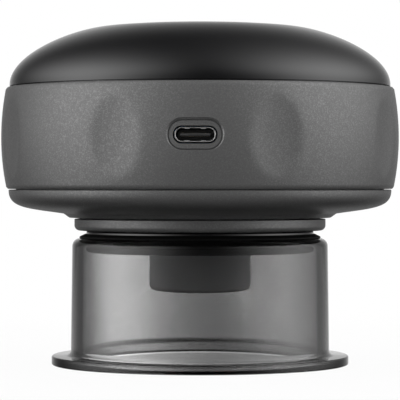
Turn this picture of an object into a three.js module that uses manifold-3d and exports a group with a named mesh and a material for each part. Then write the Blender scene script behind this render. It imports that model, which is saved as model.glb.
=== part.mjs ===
// Electric cupping massager: a round hand-held suction pump on a clear cup.
// Millimetres, +Z up. The origin is the middle of the cup's rim, where the massager stands,
// and the charging port faces -Y.
import * as THREE from 'three';
import { mergeVertices } from 'three/addons/utils/BufferGeometryUtils.js';
import Module from 'manifold-3d';

const wasm = await Module();
wasm.setup();

// Clearances that the whole part shares
const CLEARANCE = 0.3; // between pieces that touch, seat or slide
const SEAM = 0.3; // open line between two outer mouldings
const OVERRUN = 1.0; // how far a cutting shape runs past what it cuts

// Facets round a full turn, and steps along a curve
const SHELL_FACETS = 32;
const ROUND_FACETS = 20;
const SMALL_FACETS = 8;
const DIMPLE_FACETS = 14;
const CURVE_STEPS = 6;
const CORNER_STEPS = 2;
const SHAPE_STEPS = 2;

// Suction cup
const CUP_HEIGHT = 28.9;
const CUP_TOP_RADIUS = 29.7;
const CUP_DRAFT = 0.35; // how much wider the wall is at the foot
const CUP_WALL = 2.1;
const CUP_SHOULDER = 0.9; // rounding of the top edge
const CUP_MOUTH_WIDENING = 1.0; // the seat for the seal, wider than the bore
const CUP_MOUTH_DEPTH = 1.6;
const CUP_MOUTH_TAPER = 1.1;
const FLANGE_OVERHANG = 4.5; // how far the rim stands out from the wall
const FLANGE_THICKNESS = 2.1;
const FLANGE_EDGE = 0.85;
const FOOT_FILLET = 2.3;
const LIP_ROUND = 2.2; // the inner edge that presses on the skin

// Seat between the cup and the body
const NECK_GAP = 1.0; // between the neck and the cup's bore
const NECK_SHOW = 2.4; // from the cup's top to the seat ring
const NECK_FLOOR = 2.0;
const SEAL_STAND = 0.9; // how far the seal shows above the cup
const SEAL_LIP = 0.7; // height of the seal's widest band
const SEAL_TOE = 0.7; // chamfer under that band
const SEAL_GROOVE = 2.0; // depth of the groove that holds it
const RING_INSET = 0.3; // from the cup's top edge
const RING_HEIGHT = 2.7;
const RING_ROUND = 1.2;
const SPIGOT_SET_IN = 4.9; // from the neck's edge
const SPIGOT_WALL = 2.7;

// Head inside the cup
const HEAD_PLATE_DROP = 1.4; // from the cup's top to the head plate
const HEAD_PLATE_THICKNESS = 1.5;
const HEAD_PLATE_GAP = 0.7; // between the plate's edge and the cup
const HEAD_PLATE_EDGE = 0.4;
const HEAD_RADIUS = 11.9;
const HEAD_LENGTH = 8.6;
const HEAD_WALL = 1.5;
const HEAD_EDGE = 1.2;
const HEAD_STEP = 1.0; // ledge that the light board sits against
const HEAD_BOARD_DEPTH = 4.6; // from the head's rim to that ledge
const HEAD_CEILING = 1.5;
const STEM_RADIUS = 9.0;
const STEM_WALL = 2.6;
const STEM_LENGTH = 12.0;
const NUT_WALL = 4.0;
const NUT_HEIGHT = 2.4;
const HEAT_PLATE_RADIUS = 6.2;
const HEAT_PLATE_THICKNESS = 1.0;
const LENS_THICKNESS = 1.0;
const LENS_RECESS = 0.2;
const LENS_LEDGE = 1.2; // how far the lens ring reaches over the heat plate
const LENS_LEDGE_THICKNESS = 0.7;
const HEAD_BOARD_THICKNESS = 1.2;
const LED_COUNT = 4;
const LED_WIDTH = 2.0;
const LED_HEIGHT = 0.9;
const LED_CIRCLE_RADIUS = 8.2;
const LED_TURN_SHARE = 0.5; // of the angle between two chips, from +X
const FILTER_RADIUS = 2.4;
const FILTER_HEIGHT = 2.3;

// Bottom cover
const BELLY_HEIGHT = 6.4;
const BELLY_INSET = 0.55; // from the band's lower edge
const BELLY_STEP_OVERHANG = 0.7; // of the cone's inner edge, past the seat ring
const BELLY_STEP_WIDTH = 1.5;
const BELLY_STEP_HEIGHT = 0.95;
const BELLY_SIDE_SHARES = [0.05, 0.716]; // handle below the rim: of the curve's width and height
const BELLY_UNDER_SHARES = [0.593, 0.257]; // handle beside the cone
const FLOOR_THICKNESS = 2.4;
const SHELL_WALL = 2.0;
const LIP_HEIGHT = 1.8; // tongue that enters the band
const LIP_WALL = 1.4;
const SNAP_BEAD = 0.4; // the bead on that tongue, and its groove
const SNAP_HEIGHT = 0.6;
const POST_INSET = 5.0; // from the chassis' edge
const POST_RADIUS = 3.2;
const POST_HEIGHT = 2.7;
const POST_ROOT = 0.2; // how far posts and walls are sunk into their plate

// Grip band
const BAND_HEIGHT = 23.65;
const BAND_RADIUS = 46.5;
const BAND_TOP_TUCK = 1.1; // how much narrower each end is than the middle
const BAND_BOTTOM_TUCK = 1.2;
const BAND_CHAMFER_WIDTH = 0.4;
const BAND_CHAMFER_HEIGHT = 0.5;
const DIMPLE_COUNT = 8;
const DIMPLE_DEPTH = 1.2;
const DIMPLE_HALF_WIDTH = 6.2;
const DIMPLE_HALF_HEIGHT = 12.0; // of the bowl, which the band's bulge leaves at 9 mm
const DIMPLE_RISE = 0.8; // of the bowl, from its middle to its edge
const DIMPLE_RING_SHARES = [0, 0.55, 1, 1.5]; // of the half width, where the bowl has rings
const DIMPLE_TURN_SHARE = 0.5; // of the angle between two dimples, from the port
const TAB_DEPTH = 2.8; // from the band's top to the screw tabs
const TAB_THICKNESS = 2.0;
const TAB_WIDTH = 6.8;
const CASE_SCREW_INSET = 6.8; // from the band's inner wall

// Charging port
const PORT_WIDTH = 8.94; // shell of the standard receptacle
const PORT_THICKNESS = 3.26;
const PORT_LENGTH = 7.35;
const PORT_SHEET = 0.3;
const PORT_CORNER = 1.25;
const PORT_SET_BACK = 0.1; // behind the recess floor
const RECESS_WIDTH = 12.6;
const RECESS_HEIGHT = 7.25;
const RECESS_CORNER = 3.4;
const RECESS_DEPTH = 0.7;
const TONGUE_WIDTH = 6.7;
const TONGUE_THICKNESS = 0.7;
const TONGUE_SET_BACK = 0.9;
const TONGUE_BASE_LENGTH = 1.2;
const CHARGE_BOARD_WIDTH = 22.0;
const CHARGE_BOARD_DEPTH = 11.5;
const CHARGE_BOARD_THICKNESS = 1.2;
const CHARGE_BOARD_FRONT = 1.9; // behind the band's inner wall
const LEDGE_WIDTH = 4.5;
const LEDGE_THICKNESS = 4.6;
const CHARGE_SCREW_SET_BACK = 3.0; // from the board's rear edge

// Top cover
const DOME_HEIGHT = 13.7;
const DOME_INSET = 1.05; // from the band's upper edge
const DOME_CROWN_SHARES = [0.76, 0.234]; // handle beside the panel: of the dome's width and height
const DOME_SHOULDER_SHARE = 0.27; // handle above the rim: of the dome's height
const PLATEAU_THICKNESS = 2.5;
const BOSS_RADIUS = 3.0;
const BOARD_BOSS_RADIUS = 2.6;

// Panel, keys and display
const PANEL_RADIUS = 21.0;
const PANEL_THICKNESS = 1.25;
const PANEL_PROUD = 0.2;
const PANEL_CROWN = 0.35;
const PANEL_SHOULDER_SHARE = 0.75; // of the crown, halfway out to the panel's edge
const KEY_RADIUS = 4.3;
const KEY_FLANGE = 1.1;
const KEY_FLANGE_THICKNESS = 0.5;
const KEY_TRAVEL = 0.4;
const KEY_DISH = 0.3;
const KEY_SET_DOWN = 0.2; // below the crown of the panel
const KEY_STEM_RADIUS = 1.6;
const KEY_MARGIN = 4.2; // from a key's edge to the panel's
const KEY_SPREAD = 65; // degrees between two keys
const WINDOW_WIDTH = 21.0;
const WINDOW_DEPTH = 11.0;
const WINDOW_CORNER = 1.6;
const WINDOW_FRONT_GAP = 0.9; // from the side keys' flanges
const WINDOW_LEDGE = 1.2;
const LENS_SET_DOWN = 0.15;

// Control board
const BOARD_DROP = 4.9; // from the panel floor's underside to the board
const BOARD_INSET = 8.6; // from the covers' tongues
const BOARD_THICKNESS = 1.4;
const BOARD_SCREW_INSET = 4.0; // from the board's edge
const SWITCH_WIDTH = 6.0;
const SWITCH_BODY_HEIGHT = 2.2;
const SWITCH_HEIGHT = 3.0;
const SWITCH_BUTTON_RADIUS = 1.7;

// Screws
const SCREW_RADIUS = 1.0;
const SCREW_HEAD_RADIUS = 2.0;
const SCREW_HEAD_HEIGHT = 1.4;
const SCREW_DRIVE_RADIUS = 0.8;
const SCREW_DRIVE_DEPTH = 0.7;
const CASE_SCREW_LENGTH = 8.0;
const BOARD_SCREW_LENGTH = 5.0;
const CHASSIS_SCREW_LENGTH = 4.4;
const CHARGE_SCREW_LENGTH = 4.6;
const PILOT_SPARE = 0.5; // of a blind hole, past the screw's tip

// Chassis
const CHASSIS_INSET = 3.6; // from the covers' tongues
const CHASSIS_THICKNESS = 1.6;
const NUT_ROOM = 1.5; // round the stem nut
const CRADLE_THICKNESS = 3.0;
const CRADLE_HEIGHT = 5.0;
const CRADLE_WIDTH = 14.0;
const CRADLE_INSET = 8.0; // from each end of the cell
const RAIL_THICKNESS = 1.5;
const RAIL_HEIGHT = 6.0;
const RAIL_END_SHARE = 0.15; // of the can's length, free at each end of a rail
const SOCKET_WALL = 1.2;
const SOCKET_HEIGHT = 4.0;
const REST_GAP = 0.4; // between the chassis and what lies on it

// Battery
const CELL_AXIS_GAP = 9.85; // from the massager's axis to the cell's side
const CELL_ROOM_SHARE = 0.4564; // of the room from there to the charging board, for the cell's radius
const CELL_END_ROOM = 5.63; // from each end to the covers' tongues
const CELL_GROOVE = 0.4; // crimp near the plus end
const CELL_CRIMP_SET_BACK = 3.0;
const CELL_CRIMP_WIDTH = 1.2;
const CELL_BUTTON_RADIUS = 3.2;
const CELL_BUTTON_HEIGHT = 0.8;

// Pump and motor, which lie along X behind the axis
const PUMP_BACK = 18.5; // behind the axis
const PUMP_LEFT = 4.4; // left end of the crank case
const PUMP_LENGTH = 16.4;
const PUMP_WIDTH = 18.0;
const CRANK_CASE_RISE = 8.6; // from the motor's axis to its top
const CRANK_CHAMBER_RADIUS = 6.4;
const CRANK_CHAMBER_WALL = 2.2;
const CRANK_BORE_RADIUS = 4.0;
const MOTOR_RADIUS = 10.0;
const MOTOR_FLAT = 7.5; // from the axis to each flat side
const MOTOR_END_ROOM = 2.3; // from the motor's cap to the band
const MOTOR_SHEET = 0.9;
const MOTOR_CAP_LENGTH = 2.0;
const ROTOR_RADIUS = 6.2;
const ROTOR_END_SHARE = 0.15; // of the can's length, free at each end of the rotor
const SHAFT_RADIUS = 1.0;
const SHAFT_NOSE = 12.6; // past the motor's front
const SHAFT_TAIL = 1.2; // past its cap
const ECCENTRIC_RADIUS = 2.5;
const ECCENTRIC_THROW = 0.6;
const ECCENTRIC_WIDTH = 4.0;
const ROD_WALL = 1.2;
const ROD_NECK_RADIUS = 1.2;
const ROD_WIDTH = 3.4;
const ROD_BUTTON_RADIUS = 2.8;
const ROD_BUTTON_HEIGHT = 0.6;
const DIAPHRAGM_RADIUS = 7.5;
const DIAPHRAGM_THICKNESS = 0.8;
const DIAPHRAGM_STROKE_ROOM = 0.7;
const PUMP_COVER_HEIGHT = 4.4;
const PUMP_CHAMBER_RADIUS = 6.0;
const PUMP_CHAMBER_DEPTH = 1.2;
const OUTLET_OFFSET = 8.0; // between the inlet and outlet barbs

// Release valve
const VALVE_RADIUS = 6.0;
const VALVE_HEIGHT = 14.6;
const VALVE_BORE_RADIUS = 2.6;
const VALVE_FLOOR = 1.6;
const PLUNGER_HEIGHT = 7.0;
const VALVE_CAP_HEIGHT = 1.2;
const SPRING_TURNS = 5;
const SPRING_WIRE_RADIUS = 0.25;
const SPRING_STEPS_PER_TURN = 8;

// Air line
const TUBE_RADIUS = 2.4;
const TUBE_BORE_RADIUS = 1.5;
const AIR_BORE_RADIUS = 0.6;
const BARB_LENGTH = 3.5;
const BARB_BEAD = 0.2; // how much narrower the tip is
const BARB_TIP_SHARE = 0.25; // of the barb's length, which tapers
const PIPE_RADIUS = 2.0;
const PIPE_SHOULDER = 0.5; // above the stem
const PIPE_COLLAR_HEIGHT = 1.8;
const PIPE_COLLAR_DROP = 3.0; // below the stem's top
const TEE_HUB_RADIUS = 2.6;
const TEE_ARM = 5.0;
const TEE_SPACE = 1.5; // between two barb tips inside one tube
const BEND_RADIUS = 5.5;
const TUBE_STEPS = 8;

// Heights, from the cup's rim up
const barbRadius = TUBE_BORE_RADIUS - CLEARANCE;
const ringBottom = CUP_HEIGHT + NECK_SHOW;
const ringTop = ringBottom + RING_HEIGHT;
const bellyBottom = ringTop + SEAM;
const floorTop = bellyBottom + FLOOR_THICKNESS;
const bellyTop = bellyBottom + BELLY_HEIGHT;
const bandBottom = bellyTop + SEAM;
const bandTop = bandBottom + BAND_HEIGHT;
const domeBottom = bandTop + SEAM;
const domeTop = domeBottom + DOME_HEIGHT;
const panelEdge = domeTop + PANEL_PROUD;
const panelTop = panelEdge + PANEL_CROWN;
const panelBottom = panelEdge - PANEL_THICKNESS;
const panelFloor = panelBottom - CLEARANCE;
const plateauBottom = panelFloor - PLATEAU_THICKNESS;
const boardTop = plateauBottom - BOARD_DROP;
const boardBottom = boardTop - BOARD_THICKNESS;
const rimBottom = bandTop - LIP_HEIGHT;
const tabTop = bandTop - TAB_DEPTH;
const headPlateTop = CUP_HEIGHT - HEAD_PLATE_DROP;
const headPlateBottom = headPlateTop - HEAD_PLATE_THICKNESS;
const headBottom = headPlateBottom - HEAD_LENGTH;
const headLedge = headBottom + HEAD_BOARD_DEPTH;
const lensBottom = headBottom + LENS_RECESS;
const filterTop = lensBottom + FILTER_HEIGHT;
const stemTop = headPlateTop + STEM_LENGTH;
const sealBottom = headPlateTop + CLEARANCE;
const sealTop = CUP_HEIGHT + SEAL_STAND;
const postTop = floorTop + POST_HEIGHT;
const chassisBottom = postTop + CLEARANCE;
const chassisTop = chassisBottom + CHASSIS_THICKNESS;
const restHeight = chassisTop + REST_GAP;
const motorAxis = restHeight + MOTOR_FLAT;
const crankCaseTop = motorAxis + CRANK_CASE_RISE;
const diaphragmBottom = crankCaseTop + CLEARANCE;
const pumpCoverBottom = diaphragmBottom + DIAPHRAGM_THICKNESS + CLEARANCE;
const pipeShoulder = stemTop + PIPE_SHOULDER;
const pipeTop = pipeShoulder + BARB_LENGTH;
const teeHeight = pipeTop + TEE_SPACE + TEE_ARM;
const portHeight = (bandBottom + bandTop) / 2;

// Radii and places that follow from those sizes
const cupBoreRadius = CUP_TOP_RADIUS - CUP_WALL;
const cupMouthRadius = cupBoreRadius + CUP_MOUTH_WIDENING;
const neckRadius = cupBoreRadius - NECK_GAP;
const spigotRadius = neckRadius - SPIGOT_SET_IN;
const ringRadius = CUP_TOP_RADIUS - RING_INSET;
const bellyStepRadius = ringRadius + BELLY_STEP_OVERHANG;
const bandBottomRadius = BAND_RADIUS - BAND_BOTTOM_TUCK;
const bandTopRadius = BAND_RADIUS - BAND_TOP_TUCK;
const bandInnerRadius = bandBottomRadius - SHELL_WALL;
const lipRadius = bandInnerRadius - CLEARANCE;
const lipInnerRadius = lipRadius - LIP_WALL;
const bellyTopRadius = bandBottomRadius - BELLY_INSET;
const domeRadius = bandTopRadius - DOME_INSET;
const caseScrewCircle = bandInnerRadius - CASE_SCREW_INSET;
const boardRadius = lipInnerRadius - BOARD_INSET;
const boardScrewCircle = boardRadius - BOARD_SCREW_INSET;
const chassisRadius = lipInnerRadius - CHASSIS_INSET;
const postCircle = chassisRadius - POST_INSET;
const stemBoreRadius = STEM_RADIUS - STEM_WALL;
const headBoreRadius = HEAD_RADIUS - HEAD_WALL;
const stemHoleRadius = STEM_RADIUS + CLEARANCE;
const nutRadius = STEM_RADIUS + NUT_WALL;
const screwHoleRadius = SCREW_RADIUS + CLEARANCE;
const recessFloor = BAND_RADIUS - RECESS_DEPTH; // distance in front of the axis
const portFront = recessFloor - PORT_SET_BACK;
const portBack = portFront - PORT_LENGTH;
const chargeBoardTop = portHeight - PORT_THICKNESS / 2 - CLEARANCE;
const chargeBoardFront = bandInnerRadius - CHARGE_BOARD_FRONT;
const chargeBoardBack = chargeBoardFront - CHARGE_BOARD_DEPTH;
const chargeScrewSide = CHARGE_BOARD_WIDTH / 2 - LEDGE_WIDTH / 2;
const chargeScrewFront = chargeBoardBack + CHARGE_SCREW_SET_BACK;
const ledgeTop = chargeBoardTop - CHARGE_BOARD_THICKNESS - CLEARANCE;
const cellRadius = (chargeBoardBack - CELL_AXIS_GAP) * CELL_ROOM_SHARE;
const cellFront = CELL_AXIS_GAP + cellRadius; // distance in front of the axis
const cellAxis = restHeight + cellRadius;
const cellLength = 2 * (Math.sqrt(lipInnerRadius ** 2 - (cellFront + cellRadius) ** 2) - CELL_END_ROOM);
const pumpCentre = PUMP_LENGTH / 2 - PUMP_LEFT;
const pumpFront = PUMP_BACK - PUMP_WIDTH / 2;
const motorFront = -PUMP_LEFT - CLEARANCE;
const capRear = MOTOR_END_ROOM - Math.sqrt(bandInnerRadius ** 2 - (PUMP_BACK + MOTOR_RADIUS) ** 2);
const motorRear = capRear + MOTOR_CAP_LENGTH + CLEARANCE;
const motorLength = motorFront - motorRear;
const rotorRear = motorRear + motorLength * ROTOR_END_SHARE;
const rotorFront = motorFront - motorLength * ROTOR_END_SHARE;
const railRear = motorRear + motorLength * RAIL_END_SHARE;
const railFront = motorFront - motorLength * RAIL_END_SHARE;
const valveRight = chassisRadius - VALVE_RADIUS - CLEARANCE - SOCKET_WALL;
const rodBoreRadius = ECCENTRIC_RADIUS + 2 * ECCENTRIC_THROW + CLEARANCE;
const valveTop = restHeight + VALVE_HEIGHT;
const plungerBottom = restHeight + VALVE_FLOOR + CLEARANCE;
const plungerTop = plungerBottom + PLUNGER_HEIGHT;
const inletHeight = pumpCoverBottom + PUMP_COVER_HEIGHT / 2;

// Directions
const QUARTER_TURN = Math.PI / 2;
const HALF_TURN = Math.PI;
const FULL_TURN = 2 * Math.PI;
const BACK = QUARTER_TURN; // angle of +Y, measured from +X
const THIRD_TURN = FULL_TURN / 3;
const POST_ANGLES = [HALF_TURN, QUARTER_TURN / 2, -QUARTER_TURN / 3]; // clear of cell, pump and motor
const CASE_SCREW_ANGLES = [HALF_TURN, HALF_TURN + THIRD_TURN, HALF_TURN - THIRD_TURN];
const BOARD_SCREW_ANGLES = [-BACK, -BACK + THIRD_TURN, -BACK - THIRD_TURN];
const KEY_ANGLES = [
  -BACK,
  -BACK - THREE.MathUtils.degToRad(KEY_SPREAD),
  -BACK + THREE.MathUtils.degToRad(KEY_SPREAD),
];

// Places on the panel
const keyCircle = PANEL_RADIUS - KEY_RADIUS - KEY_MARGIN;
const sideKeysY = keyCircle * Math.sin(KEY_ANGLES[1]);
const windowFront = sideKeysY + KEY_RADIUS + KEY_FLANGE + WINDOW_FRONT_GAP;
const windowCentre = windowFront + WINDOW_DEPTH / 2; // distance behind the axis

// Colours, as seen on the object
const SATIN_GREY = { color: 0x5a5b5c, roughness: 0.45, metalness: 0.35 };
const GLOSS_BLACK = { color: 0x111214, roughness: 0.12, metalness: 0 };
const DARK_PLASTIC = { color: 0x333437, roughness: 0.5, metalness: 0 };
const SMOKE_CLEAR = { color: 0x8a8b8d, roughness: 0.05, metalness: 0, transparent: true, opacity: 0.4 };
const BLACK_RUBBER = { color: 0x0b0b0c, roughness: 0.7, metalness: 0 };
const KEY_BLACK = { color: 0x17181a, roughness: 0.3, metalness: 0 };
const SMOKED_LENS = { color: 0x0a0a0c, roughness: 0.08, metalness: 0 };
const RED_LENS = { color: 0x8c1d1a, roughness: 0.2, metalness: 0 };
const CIRCUIT_GREEN = { color: 0x1c5a34, roughness: 0.45, metalness: 0.1 };
const BRIGHT_STEEL = { color: 0xc4c6c8, roughness: 0.25, metalness: 1 };
const ZINC_STEEL = { color: 0x9a9da0, roughness: 0.35, metalness: 1 };
const CELL_WRAP = { color: 0x2b5fa8, roughness: 0.4, metalness: 0 };
const MILKY_SILICONE = { color: 0xd8d8d2, roughness: 0.5, metalness: 0 };
const WHITE_PLASTIC = { color: 0xe4e4df, roughness: 0.5, metalness: 0 };
const LIGHT_CHIP = { color: 0xf0d9c8, roughness: 0.3, metalness: 0 };
const GREY_FOAM = { color: 0x6d6e70, roughness: 0.95, metalness: 0 };

// A profile corner that may be rounded
const corner = (radius, height, round = 0) => ({ radius, height, round });

// Replaces each rounded corner of a profile with an arc that meets both of its sides
function roundedProfile(corners) {
  const points = [];
  corners.forEach((here, i) => {
    const vertex = new THREE.Vector2(here.radius, here.height);
    if (!here.round) {
      points.push(vertex);
      return;
    }
    const before = corners[(i + corners.length - 1) % corners.length];
    const after = corners[(i + 1) % corners.length];
    const toBefore = new THREE.Vector2(before.radius, before.height).sub(vertex).normalize();
    const toAfter = new THREE.Vector2(after.radius, after.height).sub(vertex).normalize();
    const halfAngle = Math.acos(THREE.MathUtils.clamp(toBefore.dot(toAfter), -1, 1)) / 2;
    const setBack = here.round / Math.tan(halfAngle);
    const centre = toBefore.clone().add(toAfter).normalize()
      .multiplyScalar(here.round / Math.sin(halfAngle)).add(vertex);
    const start = vertex.clone().addScaledVector(toBefore, setBack).sub(centre);
    const end = vertex.clone().addScaledVector(toAfter, setBack).sub(centre);
    let sweep = end.angle() - start.angle();
    if (sweep > HALF_TURN) sweep -= FULL_TURN;
    if (sweep < -HALF_TURN) sweep += FULL_TURN;
    for (let step = 0; step <= CORNER_STEPS; step++) {
      const turn = (sweep * step) / CORNER_STEPS;
      points.push(start.clone().rotateAround(new THREE.Vector2(), turn).add(centre));
    }
  });
  return points;
}

// Points of a profile curve with two handles, as profile corners
function sweptCurve(start, startHandle, endHandle, end) {
  const curve = new THREE.CubicBezierCurve(
    new THREE.Vector2(...start),
    new THREE.Vector2(...startHandle),
    new THREE.Vector2(...endHandle),
    new THREE.Vector2(...end),
  );
  return curve.getPoints(CURVE_STEPS).map((point) => corner(point.x, point.y));
}

// Points of a curve that bulges out to its middle
function bulgedCurve(start, middle, end) {
  const handle = [0, 1].map((axis) => 2 * middle[axis] - (start[axis] + end[axis]) / 2);
  const curve = new THREE.QuadraticBezierCurve(
    new THREE.Vector2(...start),
    new THREE.Vector2(...handle),
    new THREE.Vector2(...end),
  );
  return curve.getPoints(CURVE_STEPS).map((point) => corner(point.x, point.y));
}

// The same curve with fewer points, moved to its left by a wall's thickness
function offsetCurve(corners, distance) {
  const kept = corners.filter((_, i) => i % 2 === 0);
  return kept.map((here, i) => {
    const before = kept[Math.max(i - 1, 0)];
    const after = kept[Math.min(i + 1, kept.length - 1)];
    const along = new THREE.Vector2(after.radius - before.radius, after.height - before.height).normalize();
    return corner(here.radius - along.y * distance, here.height + along.x * distance);
  });
}

// A solid turned round the Z axis from profile corners
function turned(corners, facets = SHELL_FACETS) {
  const points = roundedProfile(corners);
  const first = points[0];
  const last = points[points.length - 1];
  if (first.x > 0 || last.x > 0) points.push(first.clone());
  return new THREE.LatheGeometry(points, facets).rotateX(QUARTER_TURN);
}

function cylinder(radius, bottom, top, facets = ROUND_FACETS) {
  return turned([corner(0, bottom), corner(radius, bottom), corner(radius, top), corner(0, top)], facets);
}

function collar(innerRadius, outerRadius, bottom, top, facets = ROUND_FACETS) {
  return turned([
    corner(innerRadius, bottom),
    corner(outerRadius, bottom),
    corner(outerRadius, top),
    corner(innerRadius, top),
  ], facets);
}

function block(xLow, xHigh, yLow, yHigh, zLow, zHigh) {
  return new THREE.BoxGeometry(xHigh - xLow, yHigh - yLow, zHigh - zLow)
    .translate((xLow + xHigh) / 2, (yLow + yHigh) / 2, (zLow + zHigh) / 2);
}

// A rectangle with round corners, centred on its own origin
function roundedRectangle(width, height, radius) {
  const x = width / 2;
  const y = height / 2;
  const shape = new THREE.Shape();
  shape.moveTo(-x + radius, -y);
  shape.lineTo(x - radius, -y);
  shape.absarc(x - radius, -y + radius, radius, -QUARTER_TURN, 0);
  shape.lineTo(x, y - radius);
  shape.absarc(x - radius, y - radius, radius, 0, QUARTER_TURN);
  shape.lineTo(-x + radius, y);
  shape.absarc(-x + radius, y - radius, radius, QUARTER_TURN, HALF_TURN);
  shape.lineTo(-x, -y + radius);
  shape.absarc(-x + radius, -y + radius, radius, HALF_TURN, -QUARTER_TURN);
  return shape;
}

// A flat shape, made thick from one height to another
function plate(shape, bottom, top) {
  const settings = { depth: top - bottom, bevelEnabled: false, curveSegments: SHAPE_STEPS };
  return new THREE.ExtrudeGeometry(shape, settings).translate(0, 0, bottom);
}

// A shape that stands upright and faces -Y, between two distances in front of the axis
function facingFront(shape, near, far) {
  return plate(shape, near, far).rotateX(QUARTER_TURN);
}

// Turns a solid made along Z so that it lies along X, with its own X pointing down
function laidAlongX(geometry) {
  return geometry.rotateY(QUARTER_TURN);
}

// A hollow tube that follows a path
function tubeAlong(path, radius, boreRadius, steps) {
  const wall = new THREE.Shape().absarc(0, 0, radius, 0, FULL_TURN);
  if (boreRadius) wall.holes.push(new THREE.Path().absarc(0, 0, boreRadius, 0, FULL_TURN, true));
  const settings = { extrudePath: path, steps, curveSegments: SMALL_FACETS / 2, bevelEnabled: false };
  return new THREE.ExtrudeGeometry(wall, settings);
}

// A closed mesh with shared vertices, its faces pointing out, as a solid for joins and cuts
function solidOf(geometry) {
  const bare = geometry.clone();
  bare.deleteAttribute('normal');
  bare.deleteAttribute('uv');
  const merged = mergeVertices(bare);
  const vertices = merged.getAttribute('position');
  const index = merged.getIndex();
  const triangles = [];
  const [a, b, c] = [new THREE.Vector3(), new THREE.Vector3(), new THREE.Vector3()];
  let volume = 0;
  for (let i = 0; i < index.count; i += 3) {
    const [p, q, r] = [index.getX(i), index.getX(i + 1), index.getX(i + 2)];
    if (p === q || q === r || r === p) continue;
    triangles.push(p, q, r);
    a.fromBufferAttribute(vertices, p);
    b.fromBufferAttribute(vertices, q);
    c.fromBufferAttribute(vertices, r);
    volume += a.dot(b.cross(c));
  }
  if (volume < 0) triangles.reverse();
  return new wasm.Manifold(new wasm.Mesh({
    numProp: 3,
    vertProperties: Float32Array.from(vertices.array),
    triVerts: Uint32Array.from(triangles),
  }));
}

function geometryOf(solid) {
  const mesh = solid.getMesh();
  const geometry = new THREE.BufferGeometry();
  geometry.setAttribute('position', new THREE.BufferAttribute(mesh.vertProperties, 3));
  geometry.setIndex(new THREE.BufferAttribute(mesh.triVerts, 1));
  return geometry;
}

const joined = (...pieces) => geometryOf(pieces.map(solidOf).reduce((sum, piece) => sum.add(piece)));
const cut = (body, ...tools) => geometryOf(
  tools.map(solidOf).reduce((rest, tool) => rest.subtract(tool), solidOf(body)),
);
const shared = (body, limit) => geometryOf(solidOf(body).intersect(solidOf(limit)));

const massager = new THREE.Group();

// Adds one named piece to the group, or to a nested group
function addPiece(name, geometry, finish, parent = massager) {
  const mesh = new THREE.Mesh(geometryOf(solidOf(geometry)), new THREE.MeshStandardMaterial(finish));
  mesh.name = name;
  parent.add(mesh);
  return mesh;
}

// Adds a nested group for pieces that share a place
function addPlace(x, y, z) {
  const place = new THREE.Group();
  place.position.set(x, y, z);
  massager.add(place);
  return place;
}

// Places round the axis
const around = (radius, angle) => [radius * Math.cos(angle), radius * Math.sin(angle)];

// A pan-head screw with its head's bearing face at the origin and its tip up
function screw(length) {
  const body = turned([
    corner(0, -SCREW_HEAD_HEIGHT),
    corner(SCREW_HEAD_RADIUS, -SCREW_HEAD_HEIGHT),
    corner(SCREW_HEAD_RADIUS, 0),
    corner(SCREW_RADIUS, 0),
    corner(SCREW_RADIUS, length - SCREW_RADIUS),
    corner(0, length),
  ], SMALL_FACETS);
  const drive = cylinder(
    SCREW_DRIVE_RADIUS,
    -SCREW_HEAD_HEIGHT - OVERRUN,
    SCREW_DRIVE_DEPTH - SCREW_HEAD_HEIGHT,
    SMALL_FACETS,
  );
  return cut(body, drive);
}

// Adds a row of screws, pointing up, or down where turned over
function addScrews(name, length, places, height, pointsDown = false) {
  places.forEach(([x, y], i) => {
    const place = addPlace(x, y, height);
    if (pointsDown) place.rotation.x = HALF_TURN;
    addPiece(`${name}_${i + 1}`, screw(length), ZINC_STEEL, place);
  });
}

// The clear cup with its skin flange and the widened mouth for the seal
function suctionCup() {
  const footRadius = CUP_TOP_RADIUS + CUP_DRAFT;
  const flangeRadius = footRadius + FLANGE_OVERHANG;
  return turned([
    corner(cupBoreRadius, 0, LIP_ROUND),
    corner(flangeRadius, 0, FLANGE_EDGE),
    corner(flangeRadius, FLANGE_THICKNESS, FLANGE_EDGE),
    corner(footRadius, FLANGE_THICKNESS, FOOT_FILLET),
    corner(CUP_TOP_RADIUS, CUP_HEIGHT, CUP_SHOULDER),
    corner(cupMouthRadius, CUP_HEIGHT),
    corner(cupMouthRadius, CUP_HEIGHT - CUP_MOUTH_DEPTH),
    corner(cupBoreRadius, CUP_HEIGHT - CUP_MOUTH_DEPTH - CUP_MOUTH_TAPER),
  ]);
}

// Soft ring that seals the cup
function sealRing() {
  const lipOuterRadius = cupMouthRadius - CLEARANCE;
  const innerRadius = neckRadius - SEAL_GROOVE + CLEARANCE;
  return turned([
    corner(innerRadius, sealBottom),
    corner(lipOuterRadius - SEAL_TOE, sealBottom),
    corner(lipOuterRadius, CUP_HEIGHT - SEAL_LIP),
    corner(lipOuterRadius, CUP_HEIGHT),
    corner(neckRadius, sealTop),
    corner(innerRadius, sealTop),
  ]);
}

// Black neck: its groove holds the seal and its spigot centres the seat ring
function neck() {
  const grooveRadius = neckRadius - SEAL_GROOVE;
  const bottom = headPlateTop + CLEARANCE;
  const pocketBottom = bottom + NECK_FLOOR;
  return turned([
    corner(stemHoleRadius, bottom),
    corner(grooveRadius, bottom),
    corner(grooveRadius, sealTop + CLEARANCE),
    corner(neckRadius, sealTop + CLEARANCE),
    corner(neckRadius, ringBottom - CLEARANCE),
    corner(spigotRadius, ringBottom - CLEARANCE),
    corner(spigotRadius, ringTop),
    corner(spigotRadius - SPIGOT_WALL, ringTop),
    corner(spigotRadius - SPIGOT_WALL, pocketBottom),
    corner(stemHoleRadius + SPIGOT_WALL, pocketBottom),
    corner(stemHoleRadius + SPIGOT_WALL, ringTop),
    corner(stemHoleRadius, ringTop),
  ]);
}

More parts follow.
